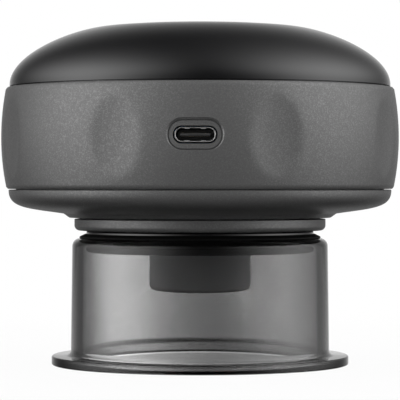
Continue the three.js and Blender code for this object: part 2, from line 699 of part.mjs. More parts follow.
// Satin ring between the neck and the bottom cover
function seatRing() {
  const boreRadius = spigotRadius + CLEARANCE;
  return turned([
    corner(boreRadius, ringBottom),
    corner(ringRadius, ringBottom, RING_ROUND),
    corner(ringRadius, ringTop),
    corner(boreRadius, ringTop),
  ]);
}

// Head with the plate that holds the seal and the threaded stem that clamps the neck
function headHousing() {
  const plateRadius = cupBoreRadius - HEAD_PLATE_GAP;
  const ceiling = headPlateBottom - HEAD_CEILING;
  return turned([
    corner(headBoreRadius, headBottom),
    corner(HEAD_RADIUS, headBottom, HEAD_EDGE),
    corner(HEAD_RADIUS, headPlateBottom),
    corner(plateRadius, headPlateBottom, HEAD_PLATE_EDGE),
    corner(plateRadius, headPlateTop, HEAD_PLATE_EDGE),
    corner(STEM_RADIUS, headPlateTop),
    corner(STEM_RADIUS, stemTop),
    corner(stemBoreRadius, stemTop),
    corner(stemBoreRadius, ceiling),
    corner(headBoreRadius - HEAD_STEP, ceiling),
    corner(headBoreRadius - HEAD_STEP, headLedge),
    corner(headBoreRadius, headLedge),
  ]);
}

// Warm plate, red lens ring, light board, chips and filter in the head's mouth
function addHeadFace() {
  const lensTop = lensBottom + LENS_THICKNESS;
  const lensInnerRadius = HEAT_PLATE_RADIUS + CLEARANCE;
  const boardHigh = headLedge - CLEARANCE;
  const boardLow = boardHigh - HEAD_BOARD_THICKNESS;
  const filterHoleRadius = FILTER_RADIUS + CLEARANCE;
  addPiece(
    'heat_plate',
    collar(filterHoleRadius, HEAT_PLATE_RADIUS, headBottom, headBottom + HEAT_PLATE_THICKNESS),
    BRIGHT_STEEL,
  );
  addPiece('lens_ring', turned([
    corner(lensInnerRadius, lensBottom),
    corner(headBoreRadius - CLEARANCE, lensBottom),
    corner(headBoreRadius - CLEARANCE, lensTop),
    corner(lensInnerRadius + CLEARANCE, lensTop + LENS_LEDGE_THICKNESS),
    corner(lensInnerRadius - LENS_LEDGE, lensTop + LENS_LEDGE_THICKNESS),
    corner(lensInnerRadius - LENS_LEDGE, headBottom + HEAT_PLATE_THICKNESS + CLEARANCE),
    corner(lensInnerRadius, headBottom + HEAT_PLATE_THICKNESS + CLEARANCE),
  ], ROUND_FACETS), RED_LENS);
  addPiece(
    'head_board',
    collar(PIPE_RADIUS + CLEARANCE, headBoreRadius - CLEARANCE, boardLow, boardHigh),
    CIRCUIT_GREEN,
  );
  for (let i = 0; i < LED_COUNT; i++) {
    const angle = ((i + LED_TURN_SHARE) * FULL_TURN) / LED_COUNT;
    const place = addPlace(...around(LED_CIRCLE_RADIUS, angle), boardLow - CLEARANCE - LED_HEIGHT);
    place.rotation.z = angle;
    const half = LED_WIDTH / 2;
    addPiece(`head_light_${i + 1}`, block(-half, half, -half, half, 0, LED_HEIGHT), LIGHT_CHIP, place);
  }
  addPiece('filter_foam', cylinder(FILTER_RADIUS, lensBottom, filterTop), GREY_FOAM);
}

// Pipe that carries the air from the filter, up through the stem, to the first tube
function suctionPipe() {
  const bottom = filterTop + CLEARANCE;
  const collarTop = stemTop - PIPE_COLLAR_DROP;
  const collarRadius = stemBoreRadius - CLEARANCE;
  return turned([
    corner(AIR_BORE_RADIUS, bottom),
    corner(PIPE_RADIUS, bottom),
    corner(PIPE_RADIUS, collarTop - PIPE_COLLAR_HEIGHT),
    corner(collarRadius, collarTop - PIPE_COLLAR_HEIGHT),
    corner(collarRadius, collarTop),
    corner(PIPE_RADIUS, collarTop),
    corner(PIPE_RADIUS, pipeShoulder),
    corner(barbRadius, pipeShoulder),
    corner(barbRadius, pipeTop),
    corner(AIR_BORE_RADIUS, pipeTop),
  ], SMALL_FACETS);
}

// Bottom cover: the belly under the band, with a snap tongue and posts for the chassis
function bottomCover() {
  const stepRadius = bellyStepRadius + BELLY_STEP_WIDTH;
  const stepTop = bellyBottom + BELLY_STEP_HEIGHT;
  const width = bellyTopRadius - stepRadius;
  const height = bellyTop - stepTop;
  const belly = sweptCurve(
    [stepRadius, stepTop],
    [stepRadius + width * BELLY_UNDER_SHARES[0], stepTop + height * BELLY_UNDER_SHARES[1]],
    [bellyTopRadius - width * BELLY_SIDE_SHARES[0], bellyTop - height * BELLY_SIDE_SHARES[1]],
    [bellyTopRadius, bellyTop],
  );
  const inside = offsetCurve(belly, SHELL_WALL)
    .filter((point) => point.radius < lipInnerRadius && point.height > floorTop)
    .reverse();
  const snapLow = bandBottom + SNAP_HEIGHT;
  const shell = turned([
    corner(stemHoleRadius, bellyBottom),
    corner(bellyStepRadius, bellyBottom),
    ...belly,
    corner(lipRadius, bellyTop),
    corner(lipRadius, snapLow),
    corner(lipRadius + SNAP_BEAD, snapLow + SNAP_HEIGHT / 2),
    corner(lipRadius, snapLow + SNAP_HEIGHT),
    corner(lipRadius, bellyTop + LIP_HEIGHT),
    corner(lipInnerRadius, bellyTop + LIP_HEIGHT),
    corner(lipInnerRadius, bellyTop),
    ...inside,
    corner(inside[inside.length - 1].radius - SHELL_WALL, floorTop),
    corner(stemHoleRadius, floorTop),
  ]);
  const posts = POST_ANGLES.map((angle) => {
    const [x, y] = around(postCircle, angle);
    return cylinder(POST_RADIUS, floorTop - POST_ROOT, postTop, SMALL_FACETS).translate(x, y, 0);
  });
  const tipHeight = chassisTop + CLEARANCE - CHASSIS_SCREW_LENGTH;
  const pilots = POST_ANGLES.map((angle) => {
    const [x, y] = around(postCircle, angle);
    return cylinder(screwHoleRadius, tipHeight - CLEARANCE, postTop + OVERRUN, SMALL_FACETS)
      .translate(x, y, 0);
  });
  return cut(joined(shell, ...posts), ...pilots);
}

// The oval bowl that cuts a finger dimple, opening outwards in the direction of the angle
function dimpleBowl(angle) {
  const rings = DIMPLE_RING_SHARES.map((share) => corner(
    DIMPLE_HALF_WIDTH * share,
    DIMPLE_RISE * share * share - DIMPLE_DEPTH,
  ));
  const last = rings[rings.length - 1];
  return turned([...rings, corner(0, last.height)], DIMPLE_FACETS)
    .scale(DIMPLE_HALF_HEIGHT / DIMPLE_HALF_WIDTH, 1, 1)
    .rotateY(QUARTER_TURN)
    .translate(BAND_RADIUS, 0, (bandBottom + bandTop) / 2)
    .rotateZ(angle);
}

// Grip band with its finger dimples, port recess, screw tabs and board ledges
function mainHousing() {
  const middle = (bandBottom + bandTop) / 2;
  const grip = bulgedCurve(
    [bandBottomRadius, bandBottom + BAND_CHAMFER_HEIGHT],
    [BAND_RADIUS, middle],
    [bandTopRadius, bandTop - BAND_CHAMFER_HEIGHT],
  );
  const snapLow = bandBottom + SNAP_HEIGHT - CLEARANCE;
  const snapHigh = bandBottom + SNAP_HEIGHT * 2 + CLEARANCE;
  const shell = turned([
    corner(bandBottomRadius - BAND_CHAMFER_WIDTH, bandBottom),
    ...grip,
    corner(bandTopRadius - BAND_CHAMFER_WIDTH, bandTop),
    corner(bandInnerRadius, bandTop),
    corner(bandInnerRadius, snapHigh),
    corner(bandInnerRadius + SNAP_BEAD, snapHigh),
    corner(bandInnerRadius + SNAP_BEAD, snapLow),
    corner(bandInnerRadius, snapLow),
    corner(bandInnerRadius, bandBottom),
  ]);
  const rooted = bandInnerRadius + SHELL_WALL / 2;
  const tabs = CASE_SCREW_ANGLES.map((angle) => block(
    caseScrewCircle - TAB_WIDTH / 2,
    rooted,
    -TAB_WIDTH / 2,
    TAB_WIDTH / 2,
    tabTop - TAB_THICKNESS,
    tabTop,
  ).rotateZ(angle));
  const tabHoles = CASE_SCREW_ANGLES.map((angle) => {
    const [x, y] = around(caseScrewCircle, angle);
    return cylinder(screwHoleRadius, tabTop - TAB_THICKNESS - OVERRUN, tabTop + OVERRUN, SMALL_FACETS)
      .translate(x, y, 0);
  });
  const ledges = [-1, 1].map((side) => block(
    side * chargeScrewSide - LEDGE_WIDTH / 2,
    side * chargeScrewSide + LEDGE_WIDTH / 2,
    -rooted,
    -chargeBoardBack,
    ledgeTop - LEDGE_THICKNESS,
    ledgeTop,
  ));
  const ledgeHoles = [-1, 1].map((side) => cylinder(
    screwHoleRadius,
    ledgeTop - LEDGE_THICKNESS - OVERRUN,
    ledgeTop + OVERRUN,
    SMALL_FACETS,
  ).translate(side * chargeScrewSide, -chargeScrewFront, 0));
  const dimples = Array.from({ length: DIMPLE_COUNT }, (_, i) => (
    dimpleBowl(-BACK + ((i + DIMPLE_TURN_SHARE) * FULL_TURN) / DIMPLE_COUNT)
  ));
  const recess = facingFront(
    roundedRectangle(RECESS_WIDTH, RECESS_HEIGHT, RECESS_CORNER),
    recessFloor,
    BAND_RADIUS + OVERRUN,
  ).translate(0, 0, portHeight);
  const opening = facingFront(
    roundedRectangle(
      PORT_WIDTH + 2 * CLEARANCE,
      PORT_THICKNESS + 2 * CLEARANCE,
      PORT_CORNER + CLEARANCE,
    ),
    bandInnerRadius - OVERRUN,
    BAND_RADIUS + OVERRUN,
  ).translate(0, 0, portHeight);
  return cut(joined(shell, ...tabs, ...ledges), ...tabHoles, ...ledgeHoles, ...dimples, recess, opening);
}

// Receptacle: folded steel shell, moulded tongue, and the board that carries them
function addChargingPort() {
  const outside = roundedRectangle(PORT_WIDTH, PORT_THICKNESS, PORT_CORNER);
  const innerWidth = PORT_WIDTH - 2 * PORT_SHEET;
  const innerThickness = PORT_THICKNESS - 2 * PORT_SHEET;
  const inside = roundedRectangle(innerWidth, innerThickness, PORT_CORNER - PORT_SHEET);
  const cavityBack = portBack + PORT_SHEET;
  addPiece('usb_shell', cut(
    facingFront(outside, portBack, portFront),
    facingFront(inside, cavityBack, portFront + OVERRUN),
  ).translate(0, 0, portHeight), BRIGHT_STEEL);

  const baseBack = cavityBack + CLEARANCE;
  const baseFront = baseBack + TONGUE_BASE_LENGTH;
  const base = roundedRectangle(
    innerWidth - 2 * CLEARANCE,
    innerThickness - 2 * CLEARANCE,
    PORT_CORNER - PORT_SHEET - CLEARANCE,
  );
  addPiece('usb_tongue', joined(
    facingFront(base, baseBack, baseFront),
    block(
      -TONGUE_WIDTH / 2,
      TONGUE_WIDTH / 2,
      TONGUE_SET_BACK - portFront,
      -baseBack - TONGUE_BASE_LENGTH / 2,
      -TONGUE_THICKNESS / 2,
      TONGUE_THICKNESS / 2,
    ),
  ).translate(0, 0, portHeight), BLACK_RUBBER);

  const screwPlaces = [-1, 1].map((side) => [side * chargeScrewSide, -chargeScrewFront]);
  const board = block(
    -CHARGE_BOARD_WIDTH / 2,
    CHARGE_BOARD_WIDTH / 2,
    -chargeBoardFront,
    -chargeBoardBack,
    chargeBoardTop - CHARGE_BOARD_THICKNESS,
    chargeBoardTop,
  );
  const holes = screwPlaces.map(([x, y]) => cylinder(
    screwHoleRadius,
    chargeBoardTop - CHARGE_BOARD_THICKNESS - OVERRUN,
    chargeBoardTop + OVERRUN,
    SMALL_FACETS,
  ).translate(x, y, 0));
  addPiece('charge_board', cut(board, ...holes), CIRCUIT_GREEN);
  addScrews('charge_screw', CHARGE_SCREW_LENGTH, screwPlaces, chargeBoardTop + CLEARANCE, true);
}

// Curve of the dome, from the panel's edge down to the rim
function domeCurve() {
  const edgeRadius = PANEL_RADIUS + CLEARANCE;
  const [reachShare, fallShare] = DOME_CROWN_SHARES;
  const reach = (domeRadius - edgeRadius) * reachShare;
  return sweptCurve(
    [domeRadius, domeBottom],
    [domeRadius, domeBottom + DOME_HEIGHT * DOME_SHOULDER_SHARE],
    [edgeRadius + reach, domeTop - DOME_HEIGHT * fallShare],
    [edgeRadius, domeTop],
  );
}

// Top cover: the dome, its panel seat, key and display openings, and screw bosses
function topCover() {
  const dome = domeCurve();
  const edgeRadius = PANEL_RADIUS + CLEARANCE;
  const inside = offsetCurve(dome, SHELL_WALL)
    .filter((point) => point.radius < lipInnerRadius)
    .filter((point) => point.height < plateauBottom && point.height > domeBottom)
    .reverse();
  const shell = turned([
    corner(0, panelFloor),
    corner(0, plateauBottom),
    ...inside,
    corner(lipInnerRadius, domeBottom),
    corner(lipInnerRadius, rimBottom),
    corner(lipRadius, rimBottom),
    corner(lipRadius, domeBottom),
    ...dome,
    corner(edgeRadius, panelFloor),
  ]);
  // Bosses end inside the dome's wall, halfway through it
  const bossRoom = turned([
    corner(0, rimBottom - TAB_DEPTH),
    corner(lipInnerRadius, rimBottom - TAB_DEPTH),
    ...offsetCurve(dome, SHELL_WALL / 2).filter((point) => point.height < panelFloor),
    corner(0, plateauBottom + PLATEAU_THICKNESS / 2),
  ]);
  const caseBosses = CASE_SCREW_ANGLES.map((angle) => {
    const [x, y] = around(caseScrewCircle, angle);
    return cylinder(BOSS_RADIUS, tabTop + CLEARANCE, domeTop, SMALL_FACETS).translate(x, y, 0);
  });
  const boardBosses = BOARD_SCREW_ANGLES.map((angle) => {
    const [x, y] = around(boardScrewCircle, angle);
    return cylinder(BOARD_BOSS_RADIUS, boardTop + CLEARANCE, domeTop, SMALL_FACETS).translate(x, y, 0);
  });
  const bosses = [...caseBosses, ...boardBosses].map((boss) => shared(boss, bossRoom));
  const caseTip = tabTop - TAB_THICKNESS - CLEARANCE + CASE_SCREW_LENGTH;
  const casePilots = CASE_SCREW_ANGLES.map((angle) => {
    const [x, y] = around(caseScrewCircle, angle);
    return cylinder(screwHoleRadius, tabTop, caseTip + PILOT_SPARE, SMALL_FACETS).translate(x, y, 0);
  });
  const boardTip = boardBottom - CLEARANCE + BOARD_SCREW_LENGTH;
  const boardPilots = BOARD_SCREW_ANGLES.map((angle) => {
    const [x, y] = around(boardScrewCircle, angle);
    return cylinder(screwHoleRadius, boardTop, boardTip + PILOT_SPARE, SMALL_FACETS).translate(x, y, 0);
  });
  const flangeLow = panelBottom - CLEARANCE - KEY_FLANGE_THICKNESS;
  const keyHoles = KEY_ANGLES.flatMap((angle) => {
    const [x, y] = around(keyCircle, angle);
    const pocketRadius = KEY_RADIUS + KEY_FLANGE + CLEARANCE;
    return [
      cylinder(pocketRadius, flangeLow - KEY_TRAVEL - CLEARANCE, panelFloor + OVERRUN).translate(x, y, 0),
      cylinder(KEY_STEM_RADIUS + CLEARANCE, plateauBottom - OVERRUN, panelFloor + OVERRUN, SMALL_FACETS)
        .translate(x, y, 0),
    ];
  });
  const lensOpening = plate(
    roundedRectangle(WINDOW_WIDTH - 2 * WINDOW_LEDGE, WINDOW_DEPTH - 2 * WINDOW_LEDGE, WINDOW_CORNER),
    plateauBottom - OVERRUN,
    panelFloor + OVERRUN,
  ).translate(0, windowCentre, 0);
  return cut(joined(shell, ...bosses), ...casePilots, ...boardPilots, ...keyHoles, lensOpening);
}

// Raised panel in the dome, with openings for the keys and the display lens
function panelDisc() {
  const crown = bulgedCurve(
    [PANEL_RADIUS, panelEdge],
    [PANEL_RADIUS / 2, panelEdge + PANEL_CROWN * PANEL_SHOULDER_SHARE],
    [0, panelTop],
  );
  const disc = turned([corner(0, panelBottom), corner(PANEL_RADIUS, panelBottom), ...crown]);
  const keyHoles = KEY_ANGLES.map((angle) => {
    const [x, y] = around(keyCircle, angle);
    return cylinder(KEY_RADIUS + CLEARANCE, panelBottom - OVERRUN, panelTop + OVERRUN).translate(x, y, 0);
  });
  const lensOpening = plate(
    roundedRectangle(WINDOW_WIDTH, WINDOW_DEPTH, WINDOW_CORNER),
    panelBottom - OVERRUN,
    panelTop + OVERRUN,
  ).translate(0, windowCentre, 0);
  return cut(disc, ...keyHoles, lensOpening);
}

// A key: dished cap, a flange that stops it under the panel, and a stem to its switch
function key() {
  const capTop = panelTop - KEY_SET_DOWN;
  const flangeHigh = panelBottom - CLEARANCE;
  const flangeLow = flangeHigh - KEY_FLANGE_THICKNESS;
  const stemBottom = boardTop + CLEARANCE + SWITCH_HEIGHT + KEY_TRAVEL + CLEARANCE;
  return turned([
    corner(0, stemBottom),
    corner(KEY_STEM_RADIUS, stemBottom),
    corner(KEY_STEM_RADIUS, flangeLow),
    corner(KEY_RADIUS + KEY_FLANGE, flangeLow),
    corner(KEY_RADIUS + KEY_FLANGE, flangeHigh),
    corner(KEY_RADIUS, flangeHigh),
    corner(KEY_RADIUS, capTop),
    corner(0, capTop - KEY_DISH),
  ], ROUND_FACETS);
}

// Panel, keys, lens and the control board with what stands on it
function addControls() {
  addPiece('panel_disc', panelDisc(), GLOSS_BLACK);
  ['power', 'suction', 'heat'].forEach((name, i) => {
    const [x, y] = around(keyCircle, KEY_ANGLES[i]);
    const place = addPlace(x, y, 0);
    addPiece(`${name}_key`, key(), KEY_BLACK, place);
    const half = SWITCH_WIDTH / 2;
    const switchBottom = boardTop + CLEARANCE;
    addPiece(`${name}_switch`, joined(
      block(-half, half, -half, half, switchBottom, switchBottom + SWITCH_BODY_HEIGHT),
      cylinder(SWITCH_BUTTON_RADIUS, switchBottom, switchBottom + SWITCH_HEIGHT, SMALL_FACETS),
    ), ZINC_STEEL, place);
  });
  const lensCorner = WINDOW_CORNER - CLEARANCE;
  const lens = roundedRectangle(WINDOW_WIDTH - 2 * CLEARANCE, WINDOW_DEPTH - 2 * CLEARANCE, lensCorner);
  const behind = addPlace(0, windowCentre, 0);
  addPiece('display_lens', plate(lens, panelBottom, panelTop - LENS_SET_DOWN), SMOKED_LENS, behind);
  const frame = WINDOW_LEDGE + CLEARANCE;
  const module = roundedRectangle(WINDOW_WIDTH - 2 * frame, WINDOW_DEPTH - 2 * frame, lensCorner);
  addPiece(
    'display_module',
    plate(module, boardTop + CLEARANCE, panelBottom - CLEARANCE),
    WHITE_PLASTIC,
    behind,
  );
  const places = BOARD_SCREW_ANGLES.map((angle) => around(boardScrewCircle, angle));
  const holes = places.map(([x, y]) => (
    cylinder(screwHoleRadius, boardBottom - OVERRUN, boardTop + OVERRUN, SMALL_FACETS).translate(x, y, 0)
  ));
  addPiece('control_board', cut(cylinder(boardRadius, boardBottom, boardTop), ...holes), CIRCUIT_GREEN);
  addScrews('board_screw', BOARD_SCREW_LENGTH, places, boardBottom - CLEARANCE);
}

// Inner frame that carries the battery, the pump and the valve
function chassis() {
  const base = collar(nutRadius + NUT_ROOM, chassisRadius, chassisBottom, chassisTop);
  const rooted = chassisTop - POST_ROOT;
  const cradleSide = cellLength / 2 - CRADLE_INSET;
  const cradles = [-1, 1].map((side) => block(
    side * cradleSide - CRADLE_THICKNESS / 2,
    side * cradleSide + CRADLE_THICKNESS / 2,
    -cellFront - CRADLE_WIDTH / 2,
    -cellFront + CRADLE_WIDTH / 2,
    rooted,
    chassisTop + CRADLE_HEIGHT,
  ));
  const cellRoom = laidAlongX(cylinder(cellRadius + CLEARANCE, -cellLength, cellLength))
    .translate(0, -cellFront, cellAxis);
  const railInner = MOTOR_RADIUS + CLEARANCE;
  const railOuter = railInner + RAIL_THICKNESS;
  const bed = block(
    railRear,
    railFront,
    PUMP_BACK - railOuter,
    PUMP_BACK + railOuter,
    chassisBottom,
    chassisTop,
  );
  const rails = [-1, 1].map((side) => block(
    railRear,
    railFront,
    PUMP_BACK + side * (railInner + RAIL_THICKNESS / 2) - RAIL_THICKNESS / 2,
    PUMP_BACK + side * (railInner + RAIL_THICKNESS / 2) + RAIL_THICKNESS / 2,
    rooted,
    chassisTop + RAIL_HEIGHT,
  ));
  const socketInner = VALVE_RADIUS + CLEARANCE;
  const socket = collar(socketInner, socketInner + SOCKET_WALL, rooted, chassisTop + SOCKET_HEIGHT)
    .translate(valveRight, 0, 0);
  const holes = POST_ANGLES.map((angle) => {
    const [x, y] = around(postCircle, angle);
    return cylinder(screwHoleRadius, chassisBottom - OVERRUN, chassisTop + OVERRUN, SMALL_FACETS)
      .translate(x, y, 0);
  });
  return joined(cut(joined(base, bed, ...cradles), cellRoom, ...holes), ...rails, socket);
}

// Cylindrical cell with its crimp and plus button, along X
function batteryCell() {
  const end = cellLength / 2;
  const crimp = end - CELL_BUTTON_HEIGHT - CELL_CRIMP_SET_BACK;
  return laidAlongX(turned([
    corner(0, -end),
    corner(cellRadius, -end),
    corner(cellRadius, crimp - CELL_CRIMP_WIDTH / 2),
    corner(cellRadius - CELL_GROOVE, crimp),
    corner(cellRadius, crimp + CELL_CRIMP_WIDTH / 2),
    corner(cellRadius, end - CELL_BUTTON_HEIGHT),
    corner(CELL_BUTTON_RADIUS, end - CELL_BUTTON_HEIGHT),
    corner(CELL_BUTTON_RADIUS, end),
    corner(0, end),
  ], ROUND_FACETS));
}

// Flat-sided direct-current motor: can, rear cap and rotor, with its axis on X
function addMotor(parent) {
  const flats = block(
    capRear - OVERRUN,
    motorFront + OVERRUN,
    -MOTOR_RADIUS - OVERRUN,
    MOTOR_RADIUS + OVERRUN,
    -MOTOR_FLAT,
    MOTOR_FLAT,
  );
  const holeRadius = SHAFT_RADIUS + CLEARANCE;
  const shaftHole = laidAlongX(
    cylinder(holeRadius, capRear - OVERRUN, motorFront + OVERRUN, SMALL_FACETS),
  );
  const bore = laidAlongX(cylinder(MOTOR_FLAT - MOTOR_SHEET, motorRear - OVERRUN, motorFront - MOTOR_SHEET));
  const can = laidAlongX(cylinder(MOTOR_RADIUS, motorRear, motorFront));
  addPiece('motor_can', cut(shared(can, flats), bore, shaftHole), BRIGHT_STEEL, parent);
  const cap = laidAlongX(cylinder(MOTOR_RADIUS, capRear, motorRear - CLEARANCE));
  addPiece('motor_cap', cut(shared(cap, flats), shaftHole), WHITE_PLASTIC, parent);
  addPiece('motor_rotor', laidAlongX(turned([
    corner(0, capRear - SHAFT_TAIL),
    corner(SHAFT_RADIUS, capRear - SHAFT_TAIL),
    corner(SHAFT_RADIUS, rotorRear),
    corner(ROTOR_RADIUS, rotorRear),
    corner(ROTOR_RADIUS, rotorFront),
    corner(SHAFT_RADIUS, rotorFront),
    corner(SHAFT_RADIUS, motorFront + SHAFT_NOSE),
    corner(0, motorFront + SHAFT_NOSE),
  ], SMALL_FACETS)), ZINC_STEEL, parent);
}

// Barb that a tube is pushed over, pointing up from a wall at the origin, with a root in the wall
function barb() {
  return turned([
    corner(0, -BARB_LENGTH / 2),
    corner(barbRadius, -BARB_LENGTH / 2),
    corner(barbRadius, BARB_LENGTH * (1 - BARB_TIP_SHARE)),
    corner(barbRadius - BARB_BEAD, BARB_LENGTH),
    corner(0, BARB_LENGTH),
  ], SMALL_FACETS);
}

// Diaphragm pump: crank case, eccentric, rod, diaphragm and valve cover with its barbs
function addPump(parent) {
  const half = PUMP_WIDTH / 2;
  const left = -PUMP_LEFT;
  const right = PUMP_LENGTH - PUMP_LEFT;
  const chamber = laidAlongX(cylinder(
    CRANK_CHAMBER_RADIUS,
    left + CRANK_CHAMBER_WALL,
    right - CRANK_CHAMBER_WALL,
  ));
  const rodBore = cylinder(CRANK_BORE_RADIUS, 0, CRANK_CASE_RISE + OVERRUN).translate(pumpCentre, 0, 0);
  const shaftHole = laidAlongX(cylinder(SHAFT_RADIUS + CLEARANCE, left - OVERRUN, 0, SMALL_FACETS));
  addPiece('pump_body', cut(
    block(left, right, -half, half, -MOTOR_FLAT, CRANK_CASE_RISE),
    chamber,
    rodBore,
    shaftHole,
  ), DARK_PLASTIC, parent);

  const eccentricSide = ECCENTRIC_WIDTH / 2;
  const eccentric = laidAlongX(cylinder(ECCENTRIC_RADIUS, -eccentricSide, eccentricSide, SMALL_FACETS))
    .translate(pumpCentre, ECCENTRIC_THROW, 0);
  const eccentricHole = laidAlongX(cylinder(SHAFT_RADIUS + CLEARANCE, left, right, SMALL_FACETS));
  addPiece('eccentric', cut(eccentric, eccentricHole), ZINC_STEEL, parent);

  const rodRadius = rodBoreRadius + ROD_WALL;
  const buttonTop = CRANK_CASE_RISE - DIAPHRAGM_STROKE_ROOM;
  const bigEnd = laidAlongX(collar(rodBoreRadius, rodRadius, -ROD_WIDTH / 2, ROD_WIDTH / 2))
    .translate(pumpCentre, 0, 0);
  const rodNeck = cylinder(ROD_NECK_RADIUS, rodBoreRadius + ROD_WALL / 2, buttonTop, SMALL_FACETS)
    .translate(pumpCentre, 0, 0);
  const button = cylinder(ROD_BUTTON_RADIUS, buttonTop - ROD_BUTTON_HEIGHT, buttonTop, SMALL_FACETS)
    .translate(pumpCentre, 0, 0);
  addPiece('pump_rod', joined(bigEnd, rodNeck, button), WHITE_PLASTIC, parent);

  const diaphragmLow = diaphragmBottom - motorAxis;
  addPiece(
    'diaphragm',
    cylinder(DIAPHRAGM_RADIUS, diaphragmLow, diaphragmLow + DIAPHRAGM_THICKNESS).translate(pumpCentre, 0, 0),
    BLACK_RUBBER,
    parent,
  );

  const coverLow = pumpCoverBottom - motorAxis;
  const portLevel = inletHeight - motorAxis;
  const cover = block(left, right, -half, half, coverLow, coverLow + PUMP_COVER_HEIGHT);
  const barbPlaces = [0, OUTLET_OFFSET];
  const barbs = barbPlaces.map((x) => barb().rotateX(QUARTER_TURN).translate(x, -half, portLevel));
  const barbEnd = BARB_LENGTH + OVERRUN;
  const bores = barbPlaces.map((x) => cylinder(AIR_BORE_RADIUS, -half / 2, barbEnd, SMALL_FACETS)
    .rotateX(QUARTER_TURN).translate(x, -half, portLevel));
  const drops = barbPlaces.map((x) => cylinder(AIR_BORE_RADIUS, coverLow - OVERRUN, portLevel, SMALL_FACETS)
    .translate(x, -half / 2, 0));
  const pumpChamber = cylinder(PUMP_CHAMBER_RADIUS, coverLow - OVERRUN, coverLow + PUMP_CHAMBER_DEPTH)
    .translate(pumpCentre, 0, 0);
  addPiece('pump_cover', cut(joined(cover, ...barbs), ...bores, ...drops, pumpChamber), DARK_PLASTIC, parent);
}

// A round spring of close wire, standing on Z
class SpringPath extends THREE.Curve {
  constructor(radius, bottom, top, turns) {
    super();
    Object.assign(this, { radius, bottom, top, turns });
  }

  getPoint(share, target = new THREE.Vector3()) {
    const angle = share * this.turns * FULL_TURN;
    const height = this.bottom + share * (this.top - this.bottom);
    return target.set(this.radius * Math.cos(angle), this.radius * Math.sin(angle), height);
  }
}

// Release valve: coil body with a barb, plunger, spring and end cap
function addReleaseValve() {
  const place = addPlace(valveRight, 0, 0);
  const bore = cylinder(VALVE_BORE_RADIUS, restHeight + VALVE_FLOOR, valveTop + OVERRUN);
  const ventTop = restHeight + VALVE_FLOOR + OVERRUN;
  const vent = cylinder(AIR_BORE_RADIUS, restHeight - OVERRUN, ventTop, SMALL_FACETS);
  const inlet = barb().rotateY(-QUARTER_TURN).translate(-VALVE_RADIUS, 0, teeHeight);
  const inletEnd = -VALVE_RADIUS - BARB_LENGTH - OVERRUN;
  const inletBore = laidAlongX(cylinder(AIR_BORE_RADIUS, inletEnd, 0, SMALL_FACETS))
    .translate(0, 0, teeHeight);
  const body = joined(cylinder(VALVE_RADIUS, restHeight, valveTop), inlet);
  addPiece('valve_body', cut(body, bore, vent, inletBore), ZINC_STEEL, place);
  addPiece(
    'valve_plunger',
    cylinder(VALVE_BORE_RADIUS - CLEARANCE, plungerBottom, plungerTop),
    BRIGHT_STEEL,
    place,
  );
  const springRadius = VALVE_BORE_RADIUS - CLEARANCE - SPRING_WIRE_RADIUS;
  const spring = new SpringPath(
    springRadius,
    plungerTop + SPRING_WIRE_RADIUS + CLEARANCE,
    valveTop - SPRING_WIRE_RADIUS,
    SPRING_TURNS,
  );
  const springWire = new THREE.Shape().absarc(0, 0, SPRING_WIRE_RADIUS, 0, FULL_TURN);
  addPiece('valve_spring', new THREE.ExtrudeGeometry(springWire, {
    extrudePath: spring,
    steps: SPRING_TURNS * SPRING_STEPS_PER_TURN,
    curveSegments: CORNER_STEPS,
    bevelEnabled: false,
  }), BRIGHT_STEEL, place);
  addPiece(
    'valve_cap',
    cylinder(VALVE_RADIUS, valveTop + CLEARANCE, valveTop + CLEARANCE + VALVE_CAP_HEIGHT),
    DARK_PLASTIC,
    place,
  );
}

// Tee with barbs down to the cup, up to the pump and right to the valve
function teePiece() {
  const arms = [
    cylinder(barbRadius, -TEE_ARM, TEE_ARM, SMALL_FACETS),
    laidAlongX(cylinder(barbRadius, 0, TEE_ARM, SMALL_FACETS)),
  ];
  const hub = new THREE.SphereGeometry(TEE_HUB_RADIUS, SMALL_FACETS, SMALL_FACETS).rotateX(QUARTER_TURN);
  const bores = [
    cylinder(AIR_BORE_RADIUS, -TEE_ARM - OVERRUN, TEE_ARM + OVERRUN, SMALL_FACETS),
    laidAlongX(cylinder(AIR_BORE_RADIUS, 0, TEE_ARM + OVERRUN, SMALL_FACETS)),
  ];
  return cut(joined(hub, ...arms), ...bores);
}

// Tee and the three silicone tubes
function addAirLine() {
  const hubEdge = TEE_HUB_RADIUS + CLEARANCE;
  addPiece('tee', teePiece(), WHITE_PLASTIC, addPlace(0, 0, teeHeight));
  addPiece(
    'cup_tube',
    collar(TUBE_BORE_RADIUS, TUBE_RADIUS, pipeShoulder + CLEARANCE, teeHeight - hubEdge, SMALL_FACETS),
    MILKY_SILICONE,
  );
  const valveTubeEnd = valveRight - VALVE_RADIUS - CLEARANCE;
  addPiece('valve_tube', laidAlongX(
    collar(TUBE_BORE_RADIUS, TUBE_RADIUS, hubEdge, valveTubeEnd, SMALL_FACETS),
  ), MILKY_SILICONE, addPlace(0, 0, teeHeight));
  const bendStart = inletHeight - BEND_RADIUS;
  const path = new THREE.CurvePath();
  path.add(new THREE.LineCurve3(
    new THREE.Vector3(0, 0, teeHeight + hubEdge),
    new THREE.Vector3(0, 0, bendStart),
  ));
  path.add(new THREE.QuadraticBezierCurve3(
    new THREE.Vector3(0, 0, bendStart),
    new THREE.Vector3(0, 0, inletHeight),
    new THREE.Vector3(0, BEND_RADIUS, inletHeight),
  ));
  path.add(new THREE.LineCurve3(
    new THREE.Vector3(0, BEND_RADIUS, inletHeight),
    new THREE.Vector3(0, pumpFront - CLEARANCE, inletHeight),
  ));
  addPiece('pump_tube', tubeAlong(path, TUBE_RADIUS, TUBE_BORE_RADIUS, TUBE_STEPS), MILKY_SILICONE);
}

